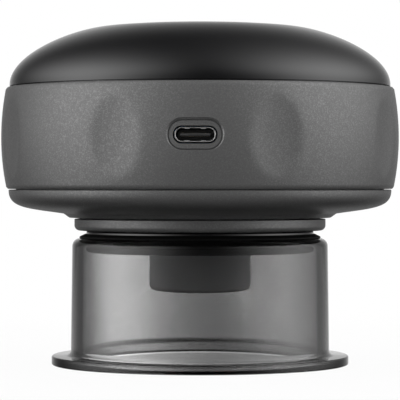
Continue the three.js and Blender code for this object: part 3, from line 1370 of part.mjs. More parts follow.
// Cup and seat
addPiece('suction_cup', suctionCup(), SMOKE_CLEAR);
addPiece('seal_ring', sealRing(), BLACK_RUBBER);
addPiece('neck', neck(), GLOSS_BLACK);
addPiece('cup_seat_ring', seatRing(), SATIN_GREY);

// Head
addPiece('head_housing', headHousing(), DARK_PLASTIC);
addHeadFace();
addPiece('suction_pipe', suctionPipe(), WHITE_PLASTIC);
addPiece(
  'stem_nut',
  collar(stemHoleRadius, nutRadius, floorTop + CLEARANCE, floorTop + CLEARANCE + NUT_HEIGHT),
  WHITE_PLASTIC,
);

// Case
const caseScrewPlaces = CASE_SCREW_ANGLES.map((angle) => around(caseScrewCircle, angle));
addPiece('bottom_cover', bottomCover(), SATIN_GREY);
addPiece('main_housing', mainHousing(), SATIN_GREY);
addPiece('top_cover', topCover(), GLOSS_BLACK);
addScrews('case_screw', CASE_SCREW_LENGTH, caseScrewPlaces, tabTop - TAB_THICKNESS - CLEARANCE);
addChargingPort();
addControls();

// Works
const postPlaces = POST_ANGLES.map((angle) => around(postCircle, angle));
addPiece('chassis', chassis(), DARK_PLASTIC);
addScrews('chassis_screw', CHASSIS_SCREW_LENGTH, postPlaces, chassisTop + CLEARANCE, true);
addPiece('battery_cell', batteryCell(), CELL_WRAP, addPlace(0, -cellFront, cellAxis));
const pumpPlace = addPlace(0, PUMP_BACK, motorAxis);
addMotor(pumpPlace);
addPump(pumpPlace);
addReleaseValve();
addAirLine();

export default massager;
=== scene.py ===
"""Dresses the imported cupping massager: its shells, keys, port and finishes, the light and the camera."""

import sys

import logging
import math
from collections.abc import Callable, Sequence
from dataclasses import dataclass, field
from enum import Enum
from functools import cache

import bmesh
import bpy
from mathutils import Matrix, Vector


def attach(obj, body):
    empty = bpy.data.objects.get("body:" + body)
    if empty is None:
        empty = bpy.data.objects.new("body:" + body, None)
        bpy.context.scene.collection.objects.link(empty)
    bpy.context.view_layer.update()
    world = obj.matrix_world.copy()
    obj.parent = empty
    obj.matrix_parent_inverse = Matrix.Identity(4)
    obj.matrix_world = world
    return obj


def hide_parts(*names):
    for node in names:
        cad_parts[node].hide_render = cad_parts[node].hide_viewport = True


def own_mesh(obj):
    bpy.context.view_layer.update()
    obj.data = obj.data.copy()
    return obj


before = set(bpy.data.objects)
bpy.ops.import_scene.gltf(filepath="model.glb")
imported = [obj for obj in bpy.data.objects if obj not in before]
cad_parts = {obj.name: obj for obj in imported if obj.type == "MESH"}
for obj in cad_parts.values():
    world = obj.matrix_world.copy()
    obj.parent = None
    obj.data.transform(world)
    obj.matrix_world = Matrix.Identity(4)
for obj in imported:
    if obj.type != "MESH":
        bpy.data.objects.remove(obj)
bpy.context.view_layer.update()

LOG = logging.getLogger("massager")
MM = 0.001
FULL_TURN = math.tau
QUARTER_TURN = math.pi / 2
SMOOTH_ANGLE = math.radians(32)  # an edge flatter than this is shaded smooth
CORNER_STEPS = 6  # pieces in the arc of a block's round corner
LARGE_TURN = 256  # faces round a large turned piece
OVERRUN = 1.0  # how far a cutter runs past what it cuts

Point = tuple[float, float]
Corner = tuple[float, ...]  # a profile corner: radius, height and, where it is rounded, the radius of its round
Colour = tuple[float, float, float]
Post = tuple[float, float, float]  # the radius of a post or drill and the heights of its two ends
Block = tuple[Point, float, float, float]  # a block's size, the heights of its faces, and its corners' radius


# Profiles, in millimetres


def rounded(corners: Sequence[Corner], steps: int) -> list[Point]:
    """Turns profile corners into points.

    Args:
        corners: the profile, in order.
        steps: how many pieces the arc of a rounded corner has.

    Returns:
        The points, with an arc that meets both sides in place of each rounded corner.
    """
    points: list[Point] = []
    for i, (radius, height, *rounding) in enumerate(corners):
        here = Vector((radius, height))
        if not rounding:
            points.append((here.x, here.y))
            continue
        before = (Vector(corners[i - 1][:2]) - here).normalized()
        after = (Vector(corners[(i + 1) % len(corners)][:2]) - here).normalized()
        half = math.acos(max(-1.0, min(1.0, before.dot(after)))) / 2
        centre = here + (before + after).normalized() * (rounding[0] / math.sin(half))
        start = here + before * (rounding[0] / math.tan(half)) - centre
        end = here + after * (rounding[0] / math.tan(half)) - centre
        sweep = math.atan2(start.x * end.y - start.y * end.x, start.dot(end))
        for step in range(steps + 1):
            spoke = centre + Matrix.Rotation(sweep * step / steps, 2) @ start
            points.append((spoke.x, spoke.y))
    return points


def swept(*knots: Point, steps: int = 24) -> list[Corner]:
    """Samples a profile curve from its first knot to its last, steered by the knots between.

    Args:
        knots: the start, one or two handles, and the end.
        steps: how many pieces the curve has.

    Returns:
        Corners along the curve.
    """
    order = len(knots) - 1
    made = []
    for step in range(steps + 1):
        t = step / steps
        weights = [math.comb(order, i) * (1 - t) ** (order - i) * t**i for i in range(order + 1)]
        made.append(tuple(sum(w * knot[axis] for w, knot in zip(weights, knots)) for axis in (0, 1)))
    return made


def bulged(start: Point, middle: Point, end: Point, steps: int) -> list[Corner]:
    """Samples a profile curve that passes through a middle point."""
    handle = tuple(2 * middle[axis] - (start[axis] + end[axis]) / 2 for axis in (0, 1))
    return swept(start, handle, end, steps=steps)


def around(radius: float, degrees: float) -> Point:
    """The place at a radius and an angle round the axis."""
    angle = math.radians(degrees)
    return radius * math.cos(angle), radius * math.sin(angle)


def ring_of(radius: float, turns: Sequence[float]) -> list[Point]:
    """Places at a radius, at several angles in degrees."""
    return [around(radius, turn) for turn in turns]


# Shader maths


def adds(operation: str, swapped: bool = False) -> Callable[..., "Signal"]:
    """Makes an operator.

    Args:
        operation: what its Math node does.
        swapped: whether the other value comes first.

    Returns:
        A method that adds the node for a signal and another value.
    """

    def method(self: "Signal", other: "Signal | float" = 0) -> "Signal":
        """Adds the node."""
        pair = (other, self) if swapped else (self, other)
        return self.recipe.node("ShaderNodeMath", dict(enumerate(pair)), operation=operation)

    return method


class Signal:
    """A value inside a material. Arithmetic on it adds the nodes that work it out."""

    def __init__(self, recipe: "Recipe", socket: bpy.types.NodeSocket) -> None:
        """Wraps an output socket of a recipe's node."""
        self.recipe = recipe
        self.socket = socket

    __add__ = __radd__ = adds("ADD")
    __sub__ = adds("SUBTRACT")
    __rsub__ = adds("SUBTRACT", swapped=True)
    __mul__ = __rmul__ = adds("MULTIPLY")
    __truediv__ = adds("DIVIDE")
    __pow__ = adds("POWER")
    __abs__ = adds("ABSOLUTE")
    larger = adds("MAXIMUM")

    def ramp(self, low: float, high: float) -> "Signal":
        """Rises softly from 0 at one level to 1 at another."""
        levels = {"Value": self, "From Min": low, "From Max": high}
        return self.recipe.node("ShaderNodeMapRange", levels, interpolation_type="SMOOTHSTEP")


class Recipe:
    """The nodes of one material, which read Object coordinates, or of the surround."""

    def __init__(self, tree: bpy.types.NodeTree, reading: str) -> None:
        """Opens a node tree, and picks the coordinates that its patterns read."""
        self.nodes = tree.nodes
        self.links = tree.links
        self.coordinates = self.node("ShaderNodeTexCoord", output=reading)

    @classmethod
    def titled(cls, name: str) -> "Recipe":
        """Starts a material with its Principled shader."""
        material = bpy.data.materials.new(name)
        material.use_nodes = True
        made = cls(material.node_tree, "Object")
        made.material = material
        made.shader = made.nodes["Principled BSDF"]
        return made

    def plug(self, socket: bpy.types.NodeSocket, value: object) -> None:
        """Links a signal to a socket, or sets the socket to a plain value."""
        if isinstance(value, Signal):
            self.links.new(value.socket, socket)
        elif isinstance(value, tuple) and len(value) == 3 and socket.type == "RGBA":
            socket.default_value = (*value, 1)
        else:
            socket.default_value = value

    def node(self, kind: str, inputs: dict | None = None, output: str | int = 0, **settings: object) -> Signal:
        """Adds a node.

        Args:
            kind: the node's type.
            inputs: values or signals by the socket's name or number.
            output: the output that is used.
            settings: the node's properties, which are set first.

        Returns:
            The chosen output.
        """
        made = self.nodes.new(kind)
        for key, value in settings.items():
            setattr(made, key, value)
        for key, value in (inputs or {}).items():
            self.plug(made.inputs[key], value)
        return Signal(self, made.outputs[output])

    def fix(self, **values: object) -> None:
        """Sets or links the shader's sockets, whose names are given with _ for a space."""
        for key, value in values.items():
            self.plug(self.shader.inputs[key.replace("_", " ")], value)

    def finish(self, shader: Signal, socket: str) -> None:
        """Links a shader to the material's output."""
        self.plug(self.nodes["Material Output"].inputs[socket], shader)

    def axis(self, name: str) -> Signal:
        """One coordinate, in millimetres."""
        return self.node("ShaderNodeSeparateXYZ", {0: self.coordinates}, name) / MM

    def reach(self) -> Signal:
        """Distance from the massager's axis, in millimetres."""
        x, y = self.axis("X"), self.axis("Y")
        return (x * x + y * y) ** 0.5

    def scaled(self, stretch: Sequence[float]) -> Signal:
        """The coordinates, stretched along each axis."""
        return self.node("ShaderNodeVectorMath", {0: self.coordinates, 1: tuple(stretch)}, operation="MULTIPLY")

    def noise(
        self, size: float, detail: float = 2, rough: float = 0.5, stretch: Sequence[float] = (1, 1, 1)
    ) -> Signal:
        """Cloudy noise around one half.

        Args:
            size: millimetres from one cloud to the next.
            detail: how many finer layers it has.
            rough: how strong the finer layers are.
            stretch: how much tighter it is along each axis.

        Returns:
            The noise.
        """
        inputs = {"Vector": self.scaled(stretch), "Scale": 1 / (size * MM), "Detail": detail, "Roughness": rough}
        return self.node("ShaderNodeTexNoise", inputs)

    def grains(self, size: float, output: str = "Distance", stretch: Sequence[float] = (1, 1, 1)) -> Signal:
        """Round cells.

        Args:
            size: millimetres from one cell to the next.
            output: Distance from the cell's middle, or the cell's random Color.
            stretch: how much tighter the cells are along each axis.

        Returns:
            The distance, or a random number of each cell.
        """
        made = self.node("ShaderNodeTexVoronoi", {"Vector": self.scaled(stretch), "Scale": 1 / (size * MM)}, output)
        return self.node("ShaderNodeSeparateColor", {0: made}) if output == "Color" else made

    def mix(self, factor: Signal, low: "Signal | Colour", high: "Signal | Colour") -> Signal:
        """Mixes two colours."""
        return self.node("ShaderNodeMix", {0: factor, 6: low, 7: high}, 2, data_type="RGBA")

    def shade(self, colour: Colour, light: Signal, spread: float) -> Signal:
        """A colour that varies by a share, darker at 0 and lighter at 1."""
        low = tuple(value * (1 - spread) for value in colour)
        high = tuple(min(1.0, value * (1 + spread)) for value in colour)
        return self.mix(light, low, high)

    def relief(self, height: Signal, depth: float) -> None:
        """Raises the surface by up to a depth in millimetres."""
        self.fix(Normal=self.node("ShaderNodeBump", {"Height": height, "Distance": depth * MM}))


# Finishes


@dataclass(frozen=True)
class Finish:
    """A plain moulded surface: fine spark-eroded texture, and faint clouds in tone and sheen."""

    slot: str
    colour: Colour
    roughness: float = 0.5
    grain: float = 0.25
    depth: float = 0.006
    spread: float = 0.08
    shine: float = 0.5
    title: str = ""

    def material(self) -> bpy.types.Material:
        """Makes the material."""
        recipe = Recipe.titled(self.title or self.slot)
        recipe.fix(Roughness=self.roughness, Specular_IOR_Level=self.shine)
        self.dress(recipe)
        return recipe.material

    def dress(self, recipe: Recipe) -> None:
        """Adds what varies over the surface."""
        clouds = recipe.noise(9, 3)
        texture = recipe.noise(self.grain, 2, 0.6)
        recipe.fix(
            Base_Color=recipe.shade(self.colour, clouds * 0.6 + texture * 0.4, self.spread),
            Roughness=self.roughness - 0.05 + clouds * 0.1,
        )
        recipe.relief(texture, self.depth)


@dataclass(frozen=True)
class PaintedLightBelow(Finish):
    """Dark plastic painted pale up to a height, as painted light for a part that sits in shade, and black above it."""

    split: float = 25.85
    above: Colour = (0.02, 0.02, 0.02)

    def dress(self, recipe: Recipe) -> None:
        """Parts the pale painted light below from the black above, at their height."""
        super().dress(recipe)
        texture = recipe.noise(self.grain, 2, 0.6)
        upper = recipe.axis("Z").ramp(self.split - 0.05, self.split + 0.05)
        colours = (recipe.shade(colour, texture, self.spread) for colour in (self.colour, self.above))
        recipe.fix(Base_Color=recipe.mix(upper, *colours))


@dataclass(frozen=True)
class SatinMetallic(Finish):
    """Satin metallic lacquer: flakes of different tilt and brightness under a soft matt coat."""

    flake: float = 0.2
    metallic: float = 0.35
    lively: float = 1.7

    def dress(self, recipe: Recipe) -> None:
        """Scatters the flakes and softens the coat."""
        flakes = recipe.grains(self.flake, "Color")
        bright = flakes.ramp(0.55, 1.0)
        fine = recipe.noise(self.flake * 0.8, 1, 0.5)
        clouds = recipe.noise(14, 2)
        base = recipe.shade(self.colour, fine, self.spread)
        recipe.fix(
            Base_Color=recipe.mix(bright * 0.7, base, tuple(value * self.lively for value in self.colour)),
            Metallic=self.metallic + bright * 0.25,
            Roughness=self.roughness + clouds * 0.06 - bright * 0.06,
        )
        recipe.relief(flakes * 0.6 + fine * 0.6, self.depth)


@dataclass(frozen=True)
class Polished(Finish):
    """Piano gloss: a mirror face with the faintest waviness and handling haze."""

    haze: float = 0.05

    def dress(self, recipe: Recipe) -> None:
        """Adds haze and a few hair lines."""
        clouds = recipe.noise(17, 3)
        hairs = recipe.noise(0.6, 2, 0.6, (1, 0.04, 0.3))
        recipe.fix(
            Base_Color=recipe.shade(self.colour, clouds, self.spread),
            Roughness=self.roughness + clouds * self.haze + hairs.ramp(0.66, 0.8) * 0.05,
            IOR=1.5,
        )
        recipe.relief(recipe.noise(6, 1), self.depth)


@dataclass(frozen=True)
class ClearSmoked(Finish):
    """Clear smoked plastic, polished, with faint moulding flow."""

    index: float = 1.49
    smoke: float = 0.0
    mirror: float = 1.0

    def dress(self, recipe: Recipe) -> None:
        """Makes it clear, fills it with smoke and adds the flow marks."""
        flow = recipe.noise(11, 1, 0.4, (1, 1, 0.35))
        recipe.fix(
            Base_Color=recipe.shade(self.colour, flow, self.spread),
            Roughness=self.roughness + flow * 0.02,
            IOR=self.index,
            Transmission_Weight=1.0,
            Specular_Tint=(self.mirror,) * 3,
        )
        recipe.relief(flow, self.depth)
        if self.smoke:
            smoke = {"Color": (0.03, 0.03, 0.03), "Density": self.smoke}
            recipe.finish(recipe.node("ShaderNodeVolumeAbsorption", smoke), "Volume")


@dataclass(frozen=True)
class Metal(Finish):
    """Bare or plated metal with fine drawn lines and a few darker spots."""

    lines: tuple[float, float, float] = (1, 0.05, 1)

    def dress(self, recipe: Recipe) -> None:
        """Draws the lines."""
        drawn = recipe.noise(self.grain, 3, 0.6, self.lines)
        clouds = recipe.noise(5, 3)
        recipe.fix(
            Base_Color=recipe.shade(self.colour, clouds * 0.5 + drawn * 0.5, self.spread),
            Metallic=1.0,
            Roughness=self.roughness + drawn * 0.1 + clouds * 0.06,
        )
        recipe.relief(drawn, self.depth)


@dataclass(frozen=True)
class PortSteel(Metal):
    """Nickel-plated sheet, bright on the rim, with painted shade further in that darkens the inside of the port."""

    rim: float = 45.55
    # share of the colour kept behind the rim: painted shade inside the port
    inside: float = 0.12

    def dress(self, recipe: Recipe) -> None:
        """Paints shade on what lies behind the rim."""
        super().dress(recipe)
        drawn = recipe.noise(self.grain, 3, 0.6, self.lines)
        # painted shade: behind the rim the colour falls to a small share of itself, standing in for the shade inside
        # the port
        front = (0 - recipe.axis("Y")).ramp(self.rim - 0.15, self.rim)
        painted_shade = tuple(value * self.inside for value in self.colour)
        recipe.fix(Base_Color=recipe.mix(front, painted_shade, recipe.shade(self.colour, drawn, self.spread)))


@dataclass(frozen=True)
class TurnedMetal(Metal):
    """Polished metal with the fine rings that turning leaves round the massager's axis."""

    def dress(self, recipe: Recipe) -> None:
        """Draws the rings."""
        radial = {"W": recipe.reach(), "Scale": 9, "Detail": 2}
        rings = recipe.node("ShaderNodeTexNoise", radial, noise_dimensions="1D")
        recipe.fix(
            Base_Color=recipe.shade(self.colour, recipe.noise(3, 3), self.spread),
            Metallic=1.0,
            Roughness=self.roughness + rings * 0.14,
        )
        recipe.relief(rings, self.depth)


@dataclass(frozen=True)
class Circuit(Finish):
    """Solder mask over copper traces, with tinned pads."""

    tin: Colour = (0.62, 0.61, 0.58)

    def dress(self, recipe: Recipe) -> None:
        """Lays out the traces and pads."""
        bricks = {"Scale": 1 / MM, "Mortar Size": 0.07, "Brick Width": 2.6, "Row Height": 0.9, "Mortar Smooth": 0.3}
        traces = recipe.node("ShaderNodeTexBrick", {"Vector": recipe.coordinates, **bricks}, "Fac", offset=0.37)
        pads = 1 - recipe.grains(3.1, "Distance", (1, 1, 0.2)).ramp(0.13, 0.17)
        clouds = recipe.noise(2.2, 2)
        mask = recipe.shade(self.colour, clouds, self.spread)
        copper = recipe.mix(traces, mask, tuple(value * 2.2 for value in self.colour))
        recipe.fix(
            Base_Color=recipe.mix(pads, copper, self.tin),
            Metallic=pads,
            Roughness=self.roughness - pads * 0.15 + clouds * 0.08,
        )
        recipe.relief(traces + pads * 1.5, self.depth)


@dataclass(frozen=True)
class CellSleeve(Finish):
    """A shrink sleeve over a steel can, whose ends are bare, with a white washer at the plus end."""

    sleeve_end: float = 23.9
    washer_inner: float = 3.4
    back: float = -19.0
    height: float = 50.85
    steel: Colour = (0.5, 0.5, 0.49)
    washer: Colour = (0.72, 0.71, 0.67)

    def dress(self, recipe: Recipe) -> None:
        """Parts the sleeve from the bare ends."""
        along = recipe.axis("X")
        y, z = recipe.axis("Y") - self.back, recipe.axis("Z") - self.height
        off = (y * y + z * z) ** 0.5
        past = self.sleeve_end, self.sleeve_end + 0.1
        washer = along.ramp(*past) * off.ramp(self.washer_inner, self.washer_inner + 0.15)
        creases = recipe.noise(1.4, 2, 0.6, (1, 0.25, 0.25))
        bare = abs(along).ramp(*past) * (1 - washer)
        sleeve = recipe.shade(self.colour, creases, self.spread)
        recipe.fix(
            Base_Color=recipe.mix(washer, recipe.mix(bare, sleeve, self.steel), self.washer),
            Metallic=bare,
            Roughness=self.roughness + creases * 0.1 + washer * 0.3,
        )
        recipe.relief(creases, self.depth)


@dataclass(frozen=True)
class Sponge(Finish):
    """Open-cell foam: pale struts, with painted shade darkening the pores between them."""

    def dress(self, recipe: Recipe) -> None:
        """Opens the pores, and paints shade in them."""
        pores = recipe.grains(self.grain).ramp(0.2, 0.65)
        recipe.fix(
            # painted shade: the pores take a quarter of the foam's colour
            Base_Color=recipe.mix(pores, tuple(value * 0.25 for value in self.colour), self.colour),
            Roughness=self.roughness - pores * 0.05,
        )
        recipe.relief(pores, self.depth)


@dataclass(frozen=True)
class LightChip(Finish):
    """A light-emitting diode: a phosphor dot in a pale body."""

    circle: float = 8.2
    dot: float = 0.7
    phosphor: Colour = (0.85, 0.55, 0.08)

    def dress(self, recipe: Recipe) -> None:
        """Puts the dot in the middle of each chip."""
        side = self.circle / math.sqrt(2)
        x, y = abs(recipe.axis("X")) - side, abs(recipe.axis("Y")) - side
        dot = 1 - ((x * x + y * y) ** 0.5).ramp(self.dot, self.dot + 0.08)
        cast = recipe.noise(0.3, 2)
        recipe.fix(
            Base_Color=recipe.mix(dot, recipe.shade(self.colour, cast, self.spread), self.phosphor),
            Roughness=self.roughness - dot * 0.15 + cast * 0.1,
        )
        recipe.relief(dot + cast * 0.1, self.depth)


@dataclass(frozen=True)
class SoftSilicone(Finish):
    """Soft silicone, a little see-through, with the lines of its extrusion."""

    glow: float = 0.25

    def dress(self, recipe: Recipe) -> None:
        """Adds depth of colour and a dusty bloom."""
        bloom = recipe.noise(4, 4, 0.6)
        recipe.fix(
            Base_Color=recipe.shade(self.colour, bloom, self.spread),
            Roughness=self.roughness - 0.06 + bloom * 0.12,
            Subsurface_Weight=self.glow,
            Subsurface_Scale=MM,
        )
        recipe.relief(recipe.noise(0.35, 2, 0.5, (0.2, 0.2, 1)), self.depth)


class Surface(Enum):
    """The finishes of this massager."""

    SATIN_GREY = SatinMetallic("satin_grey", (0.1, 0.1, 0.1), 0.42, depth=0.002, spread=0.38)
    GLOSS_BLACK = Polished("gloss_black", (0.005, 0.005, 0.0055), 0.1, depth=0.002, spread=0.1)
    PANEL_BLACK = Polished("gloss_black", (0.006, 0.006, 0.0065), 0.3, depth=0.002, shine=0.06, title="panel_black")
    KEY_BLACK = Finish("key_black", (0.01, 0.01, 0.011), 0.36, grain=0.2, depth=0.003, shine=0.08)
    SMOKED_LENS = Polished("smoked_lens", (0.004, 0.004, 0.005), 0.1, depth=0.001, haze=0.03, shine=0.08)
    DARK_PLASTIC = Finish("dark_plastic", (0.035, 0.036, 0.038), 0.5)
    # painted light: the head's dark plastic is painted pale grey below the plate, to brighten it in the shade under
    # the body
    HEAD_PLASTIC = PaintedLightBelow("dark_plastic", (0.55, 0.55, 0.55), 0.6, shine=0.12, title="head_painted_light")
    SMOKE_CLEAR = ClearSmoked(
        "smoke_clear", (0.396, 0.396, 0.396), 0.015, depth=0.002, spread=0.02, index=1.585, smoke=70, mirror=0.45
    )
    BLACK_RUBBER = SoftSilicone("black_rubber", (0.003, 0.003, 0.003), 0.6, depth=0.006, glow=0.0, shine=0.08)
    PORT_PLASTIC = Finish("black_rubber", (0.03, 0.03, 0.03), 0.42, title="port_plastic")
    RED_LENS = ClearSmoked("red_lens", (0.55, 0.03, 0.02), 0.12, depth=0.01, spread=0.1)
    CIRCUIT_GREEN = Circuit("circuit_green", (0.012, 0.1, 0.035), 0.42, depth=0.03, spread=0.15)
    BRIGHT_STEEL = Metal("bright_steel", (0.56, 0.57, 0.58), 0.2, grain=0.12, depth=0.001, spread=0.06)
    PORT_STEEL = PortSteel("bright_steel", (0.46, 0.46, 0.46), 0.42, grain=0.1, depth=0.001, title="port_steel")
    TURNED_STEEL = TurnedMetal(
        "bright_steel", (0.58, 0.585, 0.59), 0.14, depth=0.004, spread=0.05, title="turned_steel"
    )
    ZINC_STEEL = Metal("zinc_steel", (0.33, 0.34, 0.35), 0.32, grain=0.2, depth=0.002, spread=0.1, lines=(1, 1, 1))
    CELL_WRAP = CellSleeve("cell_wrap", (0.024, 0.11, 0.38), 0.3, depth=0.02, spread=0.12)
    MILKY_SILICONE = SoftSilicone("milky_silicone", (0.68, 0.68, 0.64), 0.45, depth=0.01, spread=0.06)
    WHITE_PLASTIC = Finish("white_plastic", (0.77, 0.77, 0.73), 0.45, spread=0.04)
    LIGHT_CHIP = LightChip("light_chip", (0.8, 0.74, 0.66), 0.35, depth=0.05, spread=0.04)
    GREY_FOAM = Sponge("grey_foam", (0.15, 0.15, 0.155), 0.95, grain=0.45, depth=0.2)
    GOLD_CONTACT = Metal("bright_steel", (0.83, 0.6, 0.25), 0.18, grain=0.1, depth=0.001, title="gold_contact")
    WHITE_PRINT = Finish("white_plastic", (0.7, 0.7, 0.69), 0.5, grain=0.1, depth=0.002, title="white_print")
    UNLIT_SEGMENT = Finish("smoked_lens", (0.035, 0.036, 0.036), 0.3, grain=0.1, depth=0.001, title="unlit_segment")


@cache
def material_of(surface: Surface) -> bpy.types.Material:
    """The material of a finish, made once."""
    return surface.value.material()


CARRIED_OVER: dict[Surface, tuple[str, ...]] = {
    Surface.DARK_PLASTIC: ("chassis", "pump_body", "pump_cover", "valve_cap"),
    Surface.ZINC_STEEL: (
        *(f"{place}_screw_{i}" for place in ("case", "board", "chassis") for i in (1, 2, 3)),
        "charge_screw_1", "charge_screw_2", "power_switch", "suction_switch", "heat_switch",
        "motor_rotor", "eccentric", "valve_body",
    ),
    Surface.CIRCUIT_GREEN: ("control_board", "charge_board", "head_board"),
    Surface.LIGHT_CHIP: ("head_light_1", "head_light_2", "head_light_3", "head_light_4"),
    Surface.MILKY_SILICONE: ("cup_tube", "valve_tube", "pump_tube"),
    Surface.BRIGHT_STEEL: ("motor_can", "valve_plunger"),
    Surface.WHITE_PLASTIC: ("motor_cap", "display_module", "pump_rod", "tee", "suction_pipe", "stem_nut"),
    Surface.CELL_WRAP: ("battery_cell",),
    Surface.GREY_FOAM: ("filter_foam",),
}


# Modelling


class Part(Enum):
    """What a selection is made of."""

    VERTICES = "VERT"
    FACES = "FACE"


class Solver(Enum):
    """How two solids are put together."""

    CUT = "DIFFERENCE"
    JOIN = "UNION"


class Workpiece:
    """A mesh in the making, shaped with the edit tools. All lengths are millimetres."""

    def __init__(self, item: bpy.types.Object, name: str) -> None:
        """Takes a new object in hand under its name."""
        self.item = item
        self.rename(name)

    def rename(self, name: str) -> "Workpiece":
        """Names the object and its mesh."""
        self.item.name = self.item.data.name = name
        return self

    @staticmethod
    def clear() -> None:
        """Deselects everything, and leaves the edit tools."""
        if bpy.context.mode != "OBJECT":
            bpy.ops.object.mode_set(mode="OBJECT")
        bpy.ops.object.select_all(action="DESELECT")

    def take(self) -> None:
        """Selects this piece alone."""
        self.clear()
        bpy.context.view_layer.objects.active = self.item
        self.item.select_set(True)

    def edit(self, part: Part = Part.VERTICES) -> None:
        """Opens the edit tools on this piece alone, with all of it selected."""
        self.take()
        bpy.ops.object.mode_set(mode="EDIT")
        bpy.ops.mesh.select_mode(type=part.value)
        bpy.ops.mesh.select_all(action="SELECT")

    # Starting

    @classmethod
    def sheet(cls, name: str, size: Point, place: Sequence[float], upright: bool = False) -> "Workpiece":
        """Starts with a flat rectangle.

        Args:
            name: the piece's name.
            size: its sizes along X and Y, or along X and Z where it stands upright.
            place: the rectangle's middle.
            upright: whether it stands and faces the front instead of lying and facing up.

        Returns:
            The workpiece.
        """
        cls.clear()
        turn = (QUARTER_TURN, 0, 0) if upright else (0, 0, 0)
        bpy.ops.mesh.primitive_plane_add(size=1, location=[MM * value for value in place], rotation=turn)
        made = cls(bpy.context.object, name)
        made.item.scale = (size[0] * MM, size[1] * MM, 1)
        bpy.ops.object.transform_apply()
        return made

    @classmethod
    def wire(cls, name: str, points: Sequence[Point], closed: bool = False) -> "Workpiece":
        """Draws a profile as a wire in front of the axis.

        Args:
            name: the piece's name.
            points: radius and height of each point.
            closed: whether an edge joins the last point to the first.

        Returns:
            The workpiece, with the wire selected.
        """
        cls.clear()
        bpy.ops.mesh.primitive_plane_add(size=MM)
        made = cls(bpy.context.object, name)
        made.edit()
        bpy.ops.mesh.merge(type="CENTER")
        here = points[0]
        bpy.ops.transform.translate(value=(here[0] * MM, 0, here[1] * MM))
        for point in points[1:]:
            made.extrude(x=point[0] - here[0], z=point[1] - here[1])
            here = point
        if closed:
            mesh = bmesh.from_edit_mesh(made.item.data)
            mesh.verts.ensure_lookup_table()
            ends = {mesh.verts[0], mesh.verts[-1]}
            for vertex in mesh.verts:
                vertex.select = vertex in ends
            bmesh.update_edit_mesh(made.item.data)
            bpy.ops.mesh.edge_face_add()
        bpy.ops.mesh.select_all(action="SELECT")
        return made

    @classmethod
    def turned(
        cls, name: str, corners: Sequence[Corner], steps: int, place: Point = (0, 0), rounding: int = 5
    ) -> "Workpiece":
        """Turns a profile round an upright axis.

        Args:
            name: the piece's name.
            corners: the profile.
            steps: how many pieces the full turn has.
            place: where the axis stands.
            rounding: how many pieces the arc of a rounded corner has.

        Returns:
            The workpiece, closed and facing outwards.
        """
        points = rounded(corners, rounding)
        made = cls.wire(name, points, closed=points[0][0] > 0 or points[-1][0] > 0)
        bpy.ops.mesh.spin(steps=steps, angle=FULL_TURN, center=(0, 0, 0), axis=(0, 0, 1))
        made.tidy()
        return made.move(*place) if any(place) else made

    # Shaping

    def facing_back(self) -> "Workpiece":
        """Selects the faces that look away from the front."""
        self.edit(Part.FACES)
        bpy.ops.mesh.select_all(action="DESELECT")
        mesh = bmesh.from_edit_mesh(self.item.data)
        for face in mesh.faces:
            face.select_set(face.normal.y > 0.9)
        mesh.select_flush_mode()
        bmesh.update_edit_mesh(self.item.data)
        return self

    def extrude(self, x: float = 0, y: float = 0, z: float = 0) -> "Workpiece":
        """Draws the selection out by a distance."""
        bpy.ops.mesh.extrude_region_move(TRANSFORM_OT_translate={"value": (x * MM, y * MM, z * MM)})
        return self

    def inset(self, width: float, rise: float = 0) -> "Workpiece":
        """Sets the selected faces in by a width, and raises them."""
        bpy.ops.mesh.inset(thickness=width * MM, depth=rise * MM, use_boundary=True)
        return self

    def round_corners(self, radius: float) -> None:
        """Rounds the corners of a flat sheet."""
        self.edit()
        bpy.ops.mesh.bevel(offset=radius * MM, segments=CORNER_STEPS, affect="VERTICES")

    def tidy(self) -> "Workpiece":
        """Merges doubles and turns the faces outwards."""
        self.edit()
        bpy.ops.mesh.remove_doubles(threshold=MM * MM)
        bpy.ops.mesh.normals_make_consistent(inside=False)
        bpy.ops.object.mode_set(mode="OBJECT")
        return self

    def stretch(self, z: float) -> None:
        """Scales the whole mesh along Z."""
        self.edit()
        bpy.ops.transform.resize(value=(1, 1, z), center_override=(0, 0, 0))

    def flare(self, width: float, height: float, middle: float) -> None:
        """Scales the selected faces along X and Z about a height."""
        bpy.ops.transform.resize(value=(width, 1, height), center_override=(0, 0, middle * MM))

    def press(self, place: Sequence[float], shift: Sequence[float], reach: float) -> None:
        """Pushes a round bowl into the surface, as with a thumb.

        Args:
            place: the middle of the hollow.
            shift: how far its middle moves.
            reach: distance from the middle at which the hollow ends.
        """
        goal = Vector(place)
        mesh = bmesh.from_edit_mesh(self.item.data)
        middle = min(mesh.verts, key=lambda vertex: (vertex.co / MM - goal).length)
        for vertex in mesh.verts:
            vertex.select = vertex is middle
        mesh.select_flush_mode()
        bmesh.update_edit_mesh(self.item.data)
        bpy.ops.transform.translate(
            value=[MM * value for value in shift],
            use_proportional_edit=True,
            use_proportional_connected=True,
            proportional_edit_falloff="INVERSE_SQUARE",
            proportional_size=reach * MM,
        )

    # Placing

    def move(self, x: float = 0, y: float = 0, z: float = 0, turn: float = 0, roll: float = 0) -> "Workpiece":
        """Turns the mesh about the Z and Y axes, then moves it, and leaves its object at the origin.

        Args:
            x: distance along X.
            y: distance along Y.
            z: distance along Z.
            turn: turn about Z in degrees.
            roll: turn about Y in degrees.

        Returns:
            The workpiece.
        """
        self.take()
        self.item.rotation_euler = (0, math.radians(roll), math.radians(turn))
        self.item.location = (x * MM, y * MM, z * MM)
        bpy.ops.object.transform_apply()
        return self

    def copied(self, name: str) -> "Workpiece":
        """A copy with its own mesh."""
        self.take()
        bpy.ops.object.duplicate(linked=False)
        return Workpiece(bpy.context.object, name)

    # Putting together

    def apply(self, kind: str, **settings: object) -> "Workpiece":
        """Adds a modifier, sets it and applies it."""
        self.take()
        modifier = self.item.modifiers.new(kind.lower(), kind)
        for key, value in settings.items():
            setattr(modifier, key, value)
        bpy.ops.object.modifier_apply(modifier=modifier.name)
        return self

